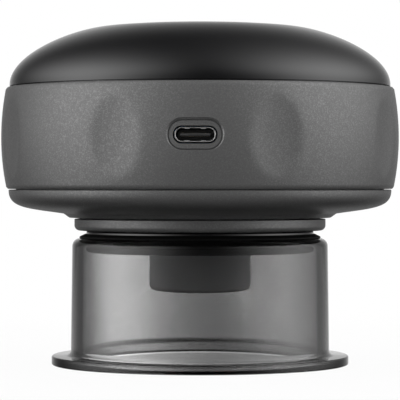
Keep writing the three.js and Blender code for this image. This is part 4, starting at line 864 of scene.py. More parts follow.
    def combine(self, solver: Solver, *others: "Workpiece") -> "Workpiece":
        """Cuts other solids out of this one, or joins them to it."""
        for other in others:
            self.apply("BOOLEAN", operation=solver.value, object=other.item, solver="EXACT")
            bpy.data.objects.remove(other.item)
        return self

    def gather(self, *others: "Workpiece") -> "Workpiece":
        """Takes loose pieces that belong to this one into its mesh."""
        self.clear()
        for piece in (*others, self):
            piece.item.select_set(True)
        bpy.context.view_layer.objects.active = self.item
        bpy.ops.object.join()
        return self

    def hand_over(self, surface: Surface, node: str = "", body: str = "device") -> bpy.types.Object:
        """Shades, paints and places the finished piece.

        Args:
            surface: its finish.
            node: the CAD node that it stands for.
            body: the CAD body that it moves with.

        Returns:
            The finished object.
        """
        self.take()
        bpy.ops.object.shade_smooth_by_angle(angle=SMOOTH_ANGLE)
        self.item.data.materials.clear()
        self.item.data.materials.append(material_of(surface))
        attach(self.item, body)
        if node:
            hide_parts(node)
        LOG.info("%s: %d faces on %s", self.item.name, len(self.item.data.polygons), body)
        return self.item


def pillars(name: str, radius: float, low: float, high: float, places: Sequence[Point]) -> Workpiece:
    """Equal round posts or drills as one piece.

    Args:
        name: its name.
        radius: their radius.
        low: height of their lower ends.
        high: height of their upper ends.
        places: where they stand.

    Returns:
        The workpiece.
    """
    corners = [(0, low), (radius, low), (radius, high), (0, high)]
    first, *rest = [Workpiece.turned(f"{name}_{i}", corners, 32, place) for i, place in enumerate(places)]
    return first.gather(*rest)


def slab(
    name: str, size: Point, low: float, high: float, corner: float = 0, place: Point = (0, 0), edge: float = 0
) -> Workpiece:
    """A flat block with round corners and a softened upper edge.

    Args:
        name: its name.
        size: its sizes along X and Y.
        low: height of its underside.
        high: height of its upper face.
        corner: radius of its upright corners.
        place: its middle.
        edge: how much its upper edge is softened.

    Returns:
        The workpiece.
    """
    made = Workpiece.sheet(name, size, (*place, low))
    if corner:
        made.round_corners(corner)
    made.edit(Part.FACES)
    made.extrude(z=high - low - edge)
    if edge:
        made.inset(edge * 0.3, edge * 0.7)
        made.inset(edge * 0.7, edge * 0.3)
    return made.tidy()


# Sub-assemblies


@dataclass
class SuctionHead:
    """The clear cup, its seal, the neck above it and the warm head inside."""

    cup_height: float = 29.5
    cup_radius: float = 29.9
    cup_foot: float = 30.25
    cup_bore: float = 27.6
    cup_shoulder: float = 1.9
    flange_radius: float = 34.75
    flange_top: float = 2.1
    neck_radius: float = 26.6
    neck_bottom: float = 27.8
    neck_floor: float = 29.8
    neck_top: float = 31.15
    neck_wall: float = 2.7
    groove_radius: float = 24.6
    groove_top: float = 29.95
    seal_profile: tuple[Corner, ...] = (
        (24.9, 27.6), (27.2, 27.6, 0.15), (27.54, 27.95, 0.15), (27.54, 28.5, 0.1), (27.35, 28.65, 0.1),
        (27.54, 28.8, 0.1), (27.54, 29.54, 0.05), (28.3, 29.54, 0.12), (28.15, 29.9, 0.15),
        (26.9, 30.5, 0.1), (26.65, 30.5), (26.65, 29.9), (24.9, 29.9),
    )
    ring_radius: float = 29.4
    ring_inner: float = 22.0
    ring_bottom: float = 31.3
    ring_top: float = 34.0
    spigot_radius: float = 21.7
    stem_hole: float = 9.3
    plate_radius: float = 26.9
    plate_bottom: float = 26.0
    plate_top: float = 27.5
    head_radius: float = 11.9
    head_bore: float = 10.4
    head_bottom: float = 17.4
    head_skirt: float = 1.1
    head_ledge: float = 22.0
    head_ceiling: float = 24.5
    stem_radius: float = 9.0
    stem_bore: float = 6.4
    stem_top: float = 39.5
    thread_bottom: float = 31.6
    thread_turns: int = 7
    thread_depth: float = 0.35

    def build(self) -> None:
        """Models and places every piece of the head."""
        self.cup()
        self.seal()
        self.neck()
        self.seat_ring()
        self.housing()
        self.warm_plate()
        self.light_ring()

    def cup(self) -> None:
        """The clear wall with its skin flange and the round shoulder at its mouth."""
        profile = [
            (self.cup_bore, 0, 1.4), (self.flange_radius, 0, 0.35), (self.flange_radius, self.flange_top, 0.4),
            (self.cup_foot, self.flange_top, 1.4), (self.cup_radius, self.cup_height, self.cup_shoulder),
            (self.cup_bore, self.cup_height, 0.3),
        ]
        cup = Workpiece.turned("clear_cup", profile, LARGE_TURN, rounding=8)
        cup.hand_over(Surface.SMOKE_CLEAR, "suction_cup", "cup")

    def seal(self) -> None:
        """The soft ring in the neck's groove, with two wiping lips."""
        Workpiece.turned("cup_seal", self.seal_profile, LARGE_TURN).hand_over(Surface.BLACK_RUBBER, "seal_ring")

    def neck(self) -> None:
        """The gloss neck with the groove for the seal and the spigot for the seat ring."""
        spigot_inner, sleeve_outer = self.spigot_radius - self.neck_wall, self.stem_hole + self.neck_wall
        profile = [
            (self.stem_hole, self.neck_bottom), (self.groove_radius, self.neck_bottom),
            (self.groove_radius, self.groove_top), (self.neck_radius, self.groove_top, 0.3),
            (self.neck_radius, self.neck_top, 0.3), (self.spigot_radius, self.neck_top),
            (self.spigot_radius, self.ring_top, 0.2), (spigot_inner, self.ring_top, 0.2),
            (spigot_inner, self.neck_floor, 0.3), (sleeve_outer, self.neck_floor, 0.3),
            (sleeve_outer, self.ring_top, 0.2), (self.stem_hole, self.ring_top, 0.2),
        ]
        Workpiece.turned("gloss_neck", profile, LARGE_TURN).hand_over(Surface.GLOSS_BLACK, "neck")

    def seat_ring(self) -> None:
        """The satin ring that the body rests on."""
        profile = [
            (self.ring_inner, self.ring_bottom, 0.2), (self.ring_radius, self.ring_bottom, 1.2),
            (self.ring_radius, self.ring_top, 0.15), (self.ring_inner, self.ring_top, 0.2),
        ]
        ring = Workpiece.turned("seat_ring", profile, LARGE_TURN, rounding=8)
        ring.hand_over(Surface.SATIN_GREY, "cup_seat_ring")

    def housing(self) -> None:
        """The head with its plate and threaded stem."""
        skirt_bottom = self.head_bottom - self.head_skirt
        ledge_radius = self.head_bore - 1.0
        thread = []
        for turn in range(self.thread_turns):
            low = self.thread_bottom + turn
            thread += [(self.stem_radius, low), (self.stem_radius - self.thread_depth, low + 0.5)]
        profile = [
            (self.head_bore, skirt_bottom, 0.25), (self.head_radius, skirt_bottom, 1.2),
            (self.head_radius, self.plate_bottom, 0.5), (self.plate_radius, self.plate_bottom, 0.4),
            (self.plate_radius, self.plate_top, 0.4), (self.stem_radius, self.plate_top),
            *thread,
            (self.stem_radius, self.stem_top, 0.4), (self.stem_bore, self.stem_top, 0.3),
            (self.stem_bore, self.head_ceiling), (ledge_radius, self.head_ceiling),
            (ledge_radius, self.head_ledge), (self.head_bore, self.head_ledge),
        ]
        # the head's finish paints it pale below the plate as painted light
        Workpiece.turned("head_shell", profile, 160).hand_over(Surface.HEAD_PLASTIC, "head_housing")

    def warm_plate(self) -> None:
        """The polished plate that warms the skin, with a ring pressed into it."""
        low, groove, top = (self.head_bottom + rise for rise in (0, 0.2, 1.0))
        profile = [
            (2.7, low, 0.2), (4.1, low, 0.1), (4.3, groove, 0.1), (4.7, groove, 0.1), (4.9, low, 0.1),
            (6.2, low, 0.3), (6.2, top), (2.7, top),
        ]
        Workpiece.turned("warm_plate", profile, 128).hand_over(Surface.TURNED_STEEL, "heat_plate")

    def light_ring(self) -> None:
        """The red lens round the warm plate, ribbed inside to spread the light."""
        low = self.head_bottom + 0.2
        outer = self.head_bore - 0.3
        ribs = []
        for rib in range(6):
            reach = outer - 0.25 - rib * 0.5
            ribs += [(reach, low + 1.0), (reach - 0.25, low + 0.75)]
        step = self.head_bottom + 1.3
        profile = [
            (6.5, low, 0.15), (outer, low, 0.25), (outer, low + 1.0), *ribs,
            (6.8, low + 1.0), (6.8, low + 1.7), (5.3, low + 1.7), (5.3, step), (6.5, step),
        ]
        Workpiece.turned("light_ring", profile, 128).hand_over(Surface.RED_LENS, "lens_ring")


@dataclass
class Case:
    """The three shells: belly cover, grip band and dome."""

    belly_bottom: float = 34.3
    belly_floor: float = 36.7
    belly_top: float = 40.84
    belly_radius: float = 44.75
    band_bottom: float = 40.96
    band_top: float = 64.65
    band_radius: float = 46.46
    band_inner: float = 43.3
    groove_depth: float = 0.4
    tongue_outer: float = 43.0
    tongue_inner: float = 41.6
    dome_bottom: float = 64.85
    dome_top: float = 78.65
    dome_radius: float = 44.5
    panel_seat_radius: float = 21.2
    panel_seat: float = 77.3
    plateau_bottom: float = 74.8
    dimple_count: int = 8
    dimple_height: float = 52.7
    dimple_depth: float = 0.8
    dimple_half_width: float = 6.1
    dimple_half_height: float = 9.2
    stem_stand: float = 9.3
    post: Post = (3.2, 36.5, 39.4)
    post_hole: Post = (1.3, 36.9, 40.0)
    post_circle: float = 33.0
    post_turns: tuple[float, ...] = (180, 45, -30)
    boss: Post = (3.0, 62.15, 72.1)
    boss_hole: Post = (1.3, 61.5, 68.05)
    boss_circle: float = 36.5
    boss_turns: tuple[float, ...] = (180, 300, 60)
    board_boss: Post = (2.6, 70.2, 76.0)
    board_hole: Post = (1.3, 69.5, 73.7)
    board_circle: float = 29.0
    board_turns: tuple[float, ...] = (-90, 30, 150)
    tab: Block = ((11.2, 6.8), 59.85, 61.85, 1.2)
    tab_hole: Post = (1.3, 59.0, 63.0)
    tab_middle: float = 38.7
    ledge: Block = ((4.5, 14.4), 44.795, 49.395, 0.6)
    ledge_hole: Post = (1.3, 46.0, 50.0)
    ledge_offset: float = 8.75
    ledge_middle: float = 37.1
    ledge_hole_middle: float = 32.9

    def build(self) -> None:
        """Models and places the shells."""
        self.belly_cover()
        self.grip_band()
        self.dome_cover()

    def belly_cover(self) -> None:
        """The lower shell with its cone, its snap tongue and the posts for the chassis."""
        outside = swept((31.95, 35.25), (40.4, 36.5), (44.75, 36.5), (self.belly_radius, self.belly_top - 0.15))
        inside = swept((39.0, self.belly_floor + 0.7), (40.6, 37.7), (41.5, 38.8), (self.tongue_inner, self.belly_top))
        profile = [
            (self.stem_stand, self.belly_bottom), (30.6, self.belly_bottom, 0.15), *outside,
            (self.belly_radius - 0.15, self.belly_top), (self.tongue_outer, self.belly_top),
            (self.tongue_outer, 41.6), (self.tongue_outer + 0.38, 41.9, 0.1), (self.tongue_outer, 42.2),
            (self.tongue_outer, 42.5, 0.2), (self.tongue_inner, 42.5, 0.3), *reversed(inside),
            (37.0, self.belly_floor, 1.0), (self.stem_stand, self.belly_floor),
        ]
        cover = Workpiece.turned("belly_cover", profile, LARGE_TURN)
        places = ring_of(self.post_circle, self.post_turns)
        cover.combine(Solver.JOIN, pillars("post", *self.post, places))
        cover.combine(Solver.CUT, pillars("post_hole", *self.post_hole, places))
        cover.hand_over(Surface.SATIN_GREY, "bottom_cover")

    def grip_band(self) -> None:
        """The band with its finger hollows and the charging recess."""
        side = bulged((45.3, self.band_bottom + 0.5), (self.band_radius, 52.7), (45.4, self.band_top - 0.5), 36)
        groove = self.band_inner + self.groove_depth
        profile = [
            (44.9, self.band_bottom + 0.05, 0.1), *side, (45.0, self.band_top - 0.05, 0.1),
            (self.band_inner, self.band_top), (self.band_inner, 42.5), (groove, 42.5), (groove, 41.3),
            (self.band_inner, 41.3), (self.band_inner, self.band_bottom),
        ]
        band = Workpiece.turned("grip_band", profile, LARGE_TURN)
        flatten = self.dimple_half_width / self.dimple_half_height
        band.stretch(flatten)
        for hollow in range(self.dimple_count):
            turn = 360 * (hollow + 0.5) / self.dimple_count - 90
            middle = (*around(self.band_radius, turn), self.dimple_height * flatten)
            band.press(middle, (*around(-self.dimple_depth, turn), 0), self.dimple_half_width)
        band.stretch(1 / flatten)
        bosses = ring_of(self.boss_circle, self.boss_turns)
        ledge_places, hole_places = (
            [(side * self.ledge_offset, -middle) for side in (-1, 1)]
            for middle in (self.ledge_middle, self.ledge_hole_middle)
        )
        first, *rest = [slab("tab", *self.tab, (self.tab_middle, 0)).move(turn=turn) for turn in self.boss_turns]
        rest += [slab("ledge", *self.ledge, place) for place in ledge_places]
        band.combine(Solver.JOIN, first.gather(*rest))
        holes = pillars("tab_hole", *self.tab_hole, bosses)
        holes.gather(pillars("ledge_hole", *self.ledge_hole, hole_places))
        band.combine(Solver.CUT, holes, *ChargePort().cutters())
        band.hand_over(Surface.SATIN_GREY, "main_housing")

    def dome_cover(self) -> None:
        """The gloss cover with the seat for the panel."""
        start, end = (self.dome_radius, self.dome_bottom + 0.1), (self.panel_seat_radius + 0.12, self.dome_top)
        profile = [
            (0, self.panel_seat), (0, self.plateau_bottom), (28.0, self.plateau_bottom, 1.0), (38.5, 70.5, 3.0),
            (self.tongue_inner, self.dome_bottom, 0.5), (self.tongue_inner, 62.85, 0.2),
            (self.tongue_outer, 62.85, 0.3), (self.tongue_outer, self.dome_bottom),
            (self.dome_radius - 0.1, self.dome_bottom), *swept(start, (44.88, 73.09), (26.71, 79.25), end, steps=40),
            (self.panel_seat_radius, self.dome_top - 0.1), (self.panel_seat_radius, self.panel_seat),
        ]
        cover = Workpiece.turned("dome_cover", profile, LARGE_TURN)
        bosses = ring_of(self.boss_circle, self.boss_turns)
        boards = ring_of(self.board_circle, self.board_turns)
        stands = pillars("boss", *self.boss, bosses)
        cover.combine(Solver.JOIN, stands.gather(pillars("board_boss", *self.board_boss, boards)))
        drills = pillars("boss_hole", *self.boss_hole, bosses)
        drills.gather(
            pillars("board_hole", *self.board_hole, boards),
            *ControlPanel().seats(self.plateau_bottom - OVERRUN, self.panel_seat + OVERRUN),
        )
        cover.combine(Solver.CUT, drills).hand_over(Surface.GLOSS_BLACK, "top_cover")


@dataclass
class ChargePort:
    """The charging receptacle and the recess it sits in."""

    middle: float = 52.825
    recess: Point = (11.95, 6.68)
    recess_corner: float = 3.2
    recess_floor: float = 45.85
    recess_front: float = 49.85
    lip_lift: float = 0.16
    lip_width: float = 0.36
    lip_depth: float = 0.3
    lip_back: float = 0.45
    joint_width: float = 0.28
    joint_depth: float = 0.6
    band_radius: float = 46.46
    opening: Point = (9.66, 3.9)
    opening_corner: float = 1.85
    opening_back: float = 40.0
    shell_size: Point = (8.94, 3.26)
    shell_corner: float = 1.55
    shell_front: float = 45.7
    shell_back: float = 38.35
    sheet: float = 0.25
    rim: float = 0.08
    tab: Point = (1.1, 0.5)
    tab_offset: float = 1.75
    tab_thickness: float = 0.24
    base: Point = (7.84, 2.16)
    tongue_size: Point = (6.7, 0.7)
    tongue_front: float = 44.8
    tongue_root: float = 40.15
    contact_pitch: float = 0.5
    contacts_per_row: int = 12
    contact_width: float = 0.27
    contact_lengths: Point = (1.8, 2.2)  # inside a row and at its ends
    contact_proud: float = 0.03
    contact_inset: float = 1.5

    def block(self, name: str, size: Point, corner: float, near: float, far: float, lift: float = 0) -> Workpiece:
        """An upright block with round corners, at the port's height, that reaches towards the front.

        Args:
            name: its name.
            size: its sizes along X and Z.
            corner: radius of its corners.
            near: distance in front of the axis at which it starts.
            far: distance at which it ends.
            lift: how much higher than the port it stands.

        Returns:
            The workpiece, with its front face selected.
        """
        made = Workpiece.sheet(name, size, (0, -near, self.middle + lift), upright=True)
        made.round_corners(corner)
        made.edit(Part.FACES)
        return made.extrude(y=near - far)

    def cutters(self) -> list[Workpiece]:
        """The solids that cut the recess, its softened lip and the opening.

        Returns:
            The cutters, in the order in which they cut.
        """
        floor = self.recess_floor - self.joint_depth
        recess = self.block("recess_cutter", self.recess, self.recess_corner, floor, self.recess_front)
        recess.tidy().facing_back().inset(self.joint_width).inset(0.03, -self.joint_depth)
        lip = self.block("lip_cutter", self.recess, self.recess_corner, -self.lip_back, -self.lip_depth, self.lip_lift)
        lip.extrude(y=-self.lip_depth)
        wider, taller = (1 + 2 * self.lip_width / side for side in self.recess)
        lip.flare(wider, taller, self.middle + self.lip_lift)
        lip.extrude(y=-2)
        lip.tidy().apply("SUBSURF", subdivision_type="SIMPLE", levels=3, render_levels=3)
        bend = lip.item.dimensions.x / MM / self.band_radius
        lip.apply("SIMPLE_DEFORM", deform_method="BEND", deform_axis="Z", angle=bend)
        lip.move(y=-self.band_radius)
        opening = self.block(
            "opening_cutter", self.opening, self.opening_corner, self.opening_back, self.recess_front
        )
        return [recess.tidy(), lip, opening.tidy()]

    def build(self) -> None:
        """Models and places the receptacle."""
        self.shell()
        self.tongue()
        self.contacts()

    def shell(self) -> None:
        """The folded steel shell with a rolled rim and four spring tabs."""
        front = self.shell_front - self.rim
        shell = self.block("port_shell", self.shell_size, self.shell_corner, self.shell_back, front)
        shell.inset(self.rim, self.rim).inset(self.sheet - 2 * self.rim).inset(self.rim, -self.rim)
        shell.extrude(y=front - self.shell_back - self.sheet).tidy()
        inner = self.shell_size[1] / 2 - self.sheet
        first, *rest = [
            slab("tab", self.tab, low, low + self.tab_thickness, 0, (x, 0.3 - self.shell_front))
            for x in (-self.tab_offset, self.tab_offset)
            for low in (self.middle + inner - 0.14, self.middle - inner - 0.1)
        ]
        shell.combine(Solver.JOIN, first.gather(*rest)).hand_over(Surface.PORT_STEEL, "usb_shell")

    def tongue(self) -> None:
        """The moulded tongue, chamfered at its front, on its base."""
        back = self.shell_back + self.sheet + 0.3
        base = self.block("port_tongue", self.base, 0.65, back, self.tongue_root).tidy()
        blade = self.block("blade", self.tongue_size, 0.2, self.tongue_root - 0.4, self.tongue_front - 0.15)
        blade.inset(0.26, 0.15).tidy()
        base.combine(Solver.JOIN, blade).hand_over(Surface.PORT_PLASTIC, "usb_tongue")

    def contacts(self) -> None:
        """The gold contacts on both faces of the tongue, longer at the ends of each row."""
        face, last = self.middle + self.tongue_size[1] / 2, self.contacts_per_row - 1
        low, high = face - self.contact_proud, face + self.contact_proud
        upper, *rest = [
            slab(
                "contact", (self.contact_width, self.contact_lengths[i in (0, last)]), low, high, 0.06,
                ((i - last / 2) * self.contact_pitch, self.contact_inset - self.tongue_front), edge=0.02,
            )
            for i in range(self.contacts_per_row)
        ]
        upper.gather(*rest)
        lower = upper.copied("contacts_below").move(z=-self.middle).move(z=self.middle, roll=180)
        upper.gather(lower).rename("port_contacts").hand_over(Surface.GOLD_CONTACT)


@dataclass
class ControlPanel:
    """The raised panel with its three keys and the display."""

    radius: float = 20.95
    bottom: float = 77.6
    edge: float = 78.85
    crown: float = 79.18
    key_circle: float = 12.5
    key_turns: dict[str, float] = field(default_factory=lambda: {"power": -90, "suction": -155, "heat": -25})
    key_radius: float = 4.3
    key_hole: float = 4.5
    key_flare: float = 0.3
    key_play: float = 0.3
    key_floor: float = 76.1
    key_top: float = 79.0
    key_dish: float = 0.3
    key_flange: float = 5.4
    flange_bottom: float = 76.8
    flange_top: float = 77.3
    key_stem: float = 1.6
    stem_bottom: float = 73.9
    window: Point = (21.0, 11.0)
    window_seat: Point = (18.6, 8.6)
    window_corner: float = 1.6
    window_place: Point = (0, 6.517)
    lens_top: float = 79.03
    mark_low: float = 78.6
    mark_top: float = 78.84
    stroke: float = 0.36
    digit: Point = (3.0, 5.6)
    digit_places: Point = (-4.6, -0.4)
    segment_width: float = 0.5
    segment_gap: float = 0.35
    gauge_bars: int = 4
    gauge_bar: Point = (0.8, 1.4)  # width of each and height of the first
    gauge_rise: float = 1.2
    gauge_pitch: float = 1.3
    gauge_start: float = 4.0

    def build(self) -> None:
        """Models and places the panel, its keys and the display."""
        self.disc()
        for name in self.key_turns:
            self.key(name)
        self.marks()
        self.lens()
        self.digits()

    def place_of(self, name: str) -> Point:
        """Where a key stands."""
        return around(self.key_circle, self.key_turns[name])

    def seats(self, low: float, high: float) -> list[Workpiece]:
        """The solids that open the case under the keys and the display.

        Args:
            low: height at which they start.
            high: height at which they end.

        Returns:
            One solid for each key and one for the display.
        """
        stem, flange, floor = self.key_stem + self.key_play, self.key_flange + self.key_play, self.key_floor
        profile = [(0, low), (stem, low), (stem, floor), (flange, floor), (flange, high), (0, high)]
        made = [Workpiece.turned(f"{name}_seat", profile, 64, self.place_of(name)) for name in self.key_turns]
        return [*made, slab("window_seat", self.window_seat, low, high, self.window_corner, self.window_place)]

    def disc(self) -> None:
        """The crowned disc with flared holes for the keys and the display."""
        profile = [
            (0, self.bottom), (self.radius, self.bottom), (self.radius, self.edge - 0.2),
            (self.radius - 0.06, self.edge - 0.06),
            *bulged((self.radius - 0.2, self.edge), (10.5, self.edge + 0.26), (0, self.crown), 20),
        ]
        disc = Workpiece.turned("control_panel", profile, 192)
        low, high, flared = self.bottom - OVERRUN, self.edge + 2 * OVERRUN, self.key_hole + self.key_flare
        hole = [
            (0, low), (self.key_hole, low), (self.key_hole, self.edge), (flared, self.edge + self.key_flare),
            (flared, high), (0, high),
        ]
        tools = [Workpiece.turned(f"{name}_drill", hole, 96, self.place_of(name)) for name in self.key_turns]
        window = slab("window_drill", self.window, low, self.crown + OVERRUN, self.window_corner, self.window_place)
        disc.combine(Solver.CUT, *tools, window).hand_over(Surface.PANEL_BLACK, "panel_disc")

    def key(self, name: str) -> None:
        """One key: a dished cap on a flange and a stem."""
        rim, middle = (self.key_radius - 0.45, self.key_top), (0, self.key_top - self.key_dish)
        profile = [
            (0, self.stem_bottom), (self.key_stem, self.stem_bottom, 0.2), (self.key_stem, self.flange_bottom),
            (self.key_flange, self.flange_bottom, 0.1), (self.key_flange, self.flange_top, 0.1),
            (self.key_radius, self.flange_top), (self.key_radius, self.key_top, 0.4),
            *bulged(rim, (2.0, self.key_top - 0.22), middle, 12),
        ]
        cap = Workpiece.turned(f"{name}_cap", profile, 96, self.place_of(name))
        cap.hand_over(Surface.KEY_BLACK, f"{name}_key", f"{name}_key")

    def line(self, middle: float) -> Workpiece:
        """The line across a stroke, which is drawn out along its path."""
        half = self.stroke / 2
        return Workpiece.wire("stroke", [(middle - half, self.mark_low), (middle + half, self.mark_low)])

    def raised(self, path: Workpiece) -> Workpiece:
        """A drawn path as a solid."""
        path.edit(Part.FACES)
        return path.extrude(z=self.mark_top - self.mark_low).tidy()

    def bow(self, radius: float, start: float, sweep: float, place: Point = (0, 0)) -> Workpiece:
        """A curved stroke of a mark.

        Args:
            radius: radius of its middle line.
            start: angle in degrees at which it starts.
            sweep: how many degrees it runs.
            place: the middle of its circle.

        Returns:
            The stroke, as a solid.
        """
        path = self.line(radius)
        bpy.ops.mesh.spin(steps=24, angle=-math.radians(sweep), center=(0, 0, 0), axis=(0, 0, 1))
        return self.raised(path).move(*place, turn=start)

    def bar(self, width: float, depth: float, place: Point) -> Workpiece:
        """A straight stroke of a mark."""
        return slab("bar", (width, depth), self.mark_low, self.mark_top, min(width, depth) * 0.35, place)

    def wave(self, x: float, low: float, high: float) -> Workpiece:
        """An upright wavy stroke.

        Args:
            x: where it stands.
            low: its lower end.
            high: its upper end.

        Returns:
            The stroke, as a solid.
        """
        steps, swing = 20, 0.24
        path = self.line(x)
        bend = [swing * math.sin(FULL_TURN * step / steps) for step in range(steps + 1)]
        for before, after in zip(bend, bend[1:]):
            path.extrude(x=after - before, y=(high - low) / steps)
        return self.raised(path).move(y=low)

    def marks(self) -> None:
        """The raised white marks on the keys: power, suction and heat."""
        strokes = {
            "power": [self.bow(1.45, 125, 290), self.bar(self.stroke, 1.5, (0, 1.25))],
            "suction": [
                self.bow(1.2, 0, 180, (0, 0.1)),
                *(self.bar(self.stroke, 1.0, (side * 1.2, -0.3)) for side in (-1, 1)),
                self.bar(3.5, self.stroke, (0, -1.0)),
            ],
            "heat": [self.wave(x, -1.35, 1.35) for x in (-0.95, 0, 0.95)],
        }
        for name, (first, *rest) in strokes.items():
            mark = first.gather(*rest).rename(f"{name}_mark").move(*self.place_of(name))
            mark.hand_over(Surface.WHITE_PRINT, body=f"{name}_key")

    def lens(self) -> None:
        """The smoked display window."""
        size = tuple(side - 0.4 for side in self.window)
        glass = slab(
            "display_glass", size, self.bottom, self.lens_top, self.window_corner - 0.2, self.window_place, edge=0.25
        )
        glass.hand_over(Surface.SMOKED_LENS, "display_lens")

    def digits(self) -> None:
        """Two digits of seven unlit segments, and the bars of the charge gauge."""
        low, high = self.lens_top - 0.04, self.lens_top + 0.02
        (width, height), thick = self.digit, self.segment_width
        half, level = height / 2, self.window_place[1]
        across = [(0, y, width - self.segment_gap, thick) for y in (half, 0, -half)]
        upright = [(x * width / 2, y * half / 2, thick, half - self.segment_gap) for x in (-1, 1) for y in (-1, 1)]
        bars = [
            slab("segment", (wide, tall), low, high, 0.2, (middle + x, level + y))
            for middle in self.digit_places
            for x, y, wide, tall in across + upright
        ]
        for step in range(self.gauge_bars):
            size = (self.gauge_bar[0], self.gauge_bar[1] + step * self.gauge_rise)
            place = (self.gauge_start + step * self.gauge_pitch, level - half + size[1] / 2)
            bars.append(slab("gauge", size, low, high, 0.15, place))
        bars[0].gather(*bars[1:]).rename("display_digits").hand_over(Surface.UNLIT_SEGMENT)


@dataclass
class Works:
    """The boards, the cell, the motor, the pump, the release valve and the screws."""

    finishes: dict[Surface, tuple[str, ...]] = field(default_factory=lambda: CARRIED_OVER)
    pump: Point = (3.8, 18.5)
    disc_middle: float = 58.5
    disc_kept: float = 0.2
    valve: Point = (30.5, 0.0)
    spring_radius: float = 2.05
    wire_radius: float = 0.25
    wire_sides: int = 8
    spring_low: float = 51.15
    spring_high: float = 56.0
    turns: int = 5
    steps_per_turn: int = 32
    lift: float = 0.8

    def build(self) -> None:
        """Makes the two soft pieces and gives the carried-over nodes their finishes."""
        self.diaphragm()
        self.spring()
        self.dress()

    def diaphragm(self) -> None:
        """The pump's rubber disc, with a fold round its stiff middle, which moves with the pump rod."""
        half = [
            (3.0, 0.38, 0.38, 0.15), (3.4, 0.1, 0.14, 0.15), (4.4, -0.12, 0.36, 0.3), (5.4, 0.1, 0.14, 0.15),
            (5.9, 0.38, 0.38, 0.15), (7.5, 0.38, 0.38, 0.12),
        ]  # radius, depth below and height above the middle, round
        profile = [
            (0, self.disc_middle - 0.38),
            *((radius, self.disc_middle - below, turn) for radius, below, _, turn in half),
            *((radius, self.disc_middle + above, turn) for radius, _, above, turn in reversed(half)),
            (0, self.disc_middle + 0.38),
        ]
        disc = Workpiece.turned("pump_diaphragm", profile, 96, self.pump)
        item = disc.hand_over(Surface.BLACK_RUBBER, "diaphragm", "pump_rod")
        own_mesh(item)

    def spring(self) -> None:
        """The release valve's spring, which moves with the plunger."""
        spokes = [around(self.wire_radius, 360 * i / self.wire_sides) for i in range(self.wire_sides)]
        coil = Workpiece.wire("valve_coil", [(self.spring_radius + x, self.spring_low + y) for x, y in spokes], True)
        pitch = (self.spring_high - self.spring_low) / self.turns * MM
        steps = self.steps_per_turn
        coil.apply("SCREW", steps=steps, render_steps=steps, iterations=self.turns, screw_offset=pitch)
        coil.edit()
        bpy.ops.mesh.fill_holes(sides=0)
        item = coil.tidy().move(*self.valve).hand_over(Surface.BRIGHT_STEEL, "valve_spring", "valve_plunger")
        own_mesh(item)

    def dress(self) -> None:
        """Gives each carried-over node its finish."""
        for surface, names in self.finishes.items():
            for name in names:
                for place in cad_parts[name].material_slots:
                    place.material = material_of(surface)
                LOG.info("%s: finished as %s", name, surface.name.lower())


# Studio


@dataclass(frozen=True)
class SoftLight:
    """A soft light in the surround: its direction in degrees, its strength and how tight it is."""

    turn: float
    rise: float
    strength: float
    tightness: float

    @property
    def direction(self) -> tuple[float, float, float]:
        """Where it stands, as a direction; no turn is in front of the massager."""
        x, y = around(math.cos(math.radians(self.rise)), self.turn - 90)
        return x, y, math.sin(math.radians(self.rise))

    def glow(self, recipe: Recipe) -> Signal:
        """How bright it is in each direction."""
        pair = {0: recipe.coordinates, 1: self.direction}
        facing = recipe.node("ShaderNodeVectorMath", pair, "Value", operation="DOT_PRODUCT")
        return facing.larger(0.0) ** self.tightness * self.strength


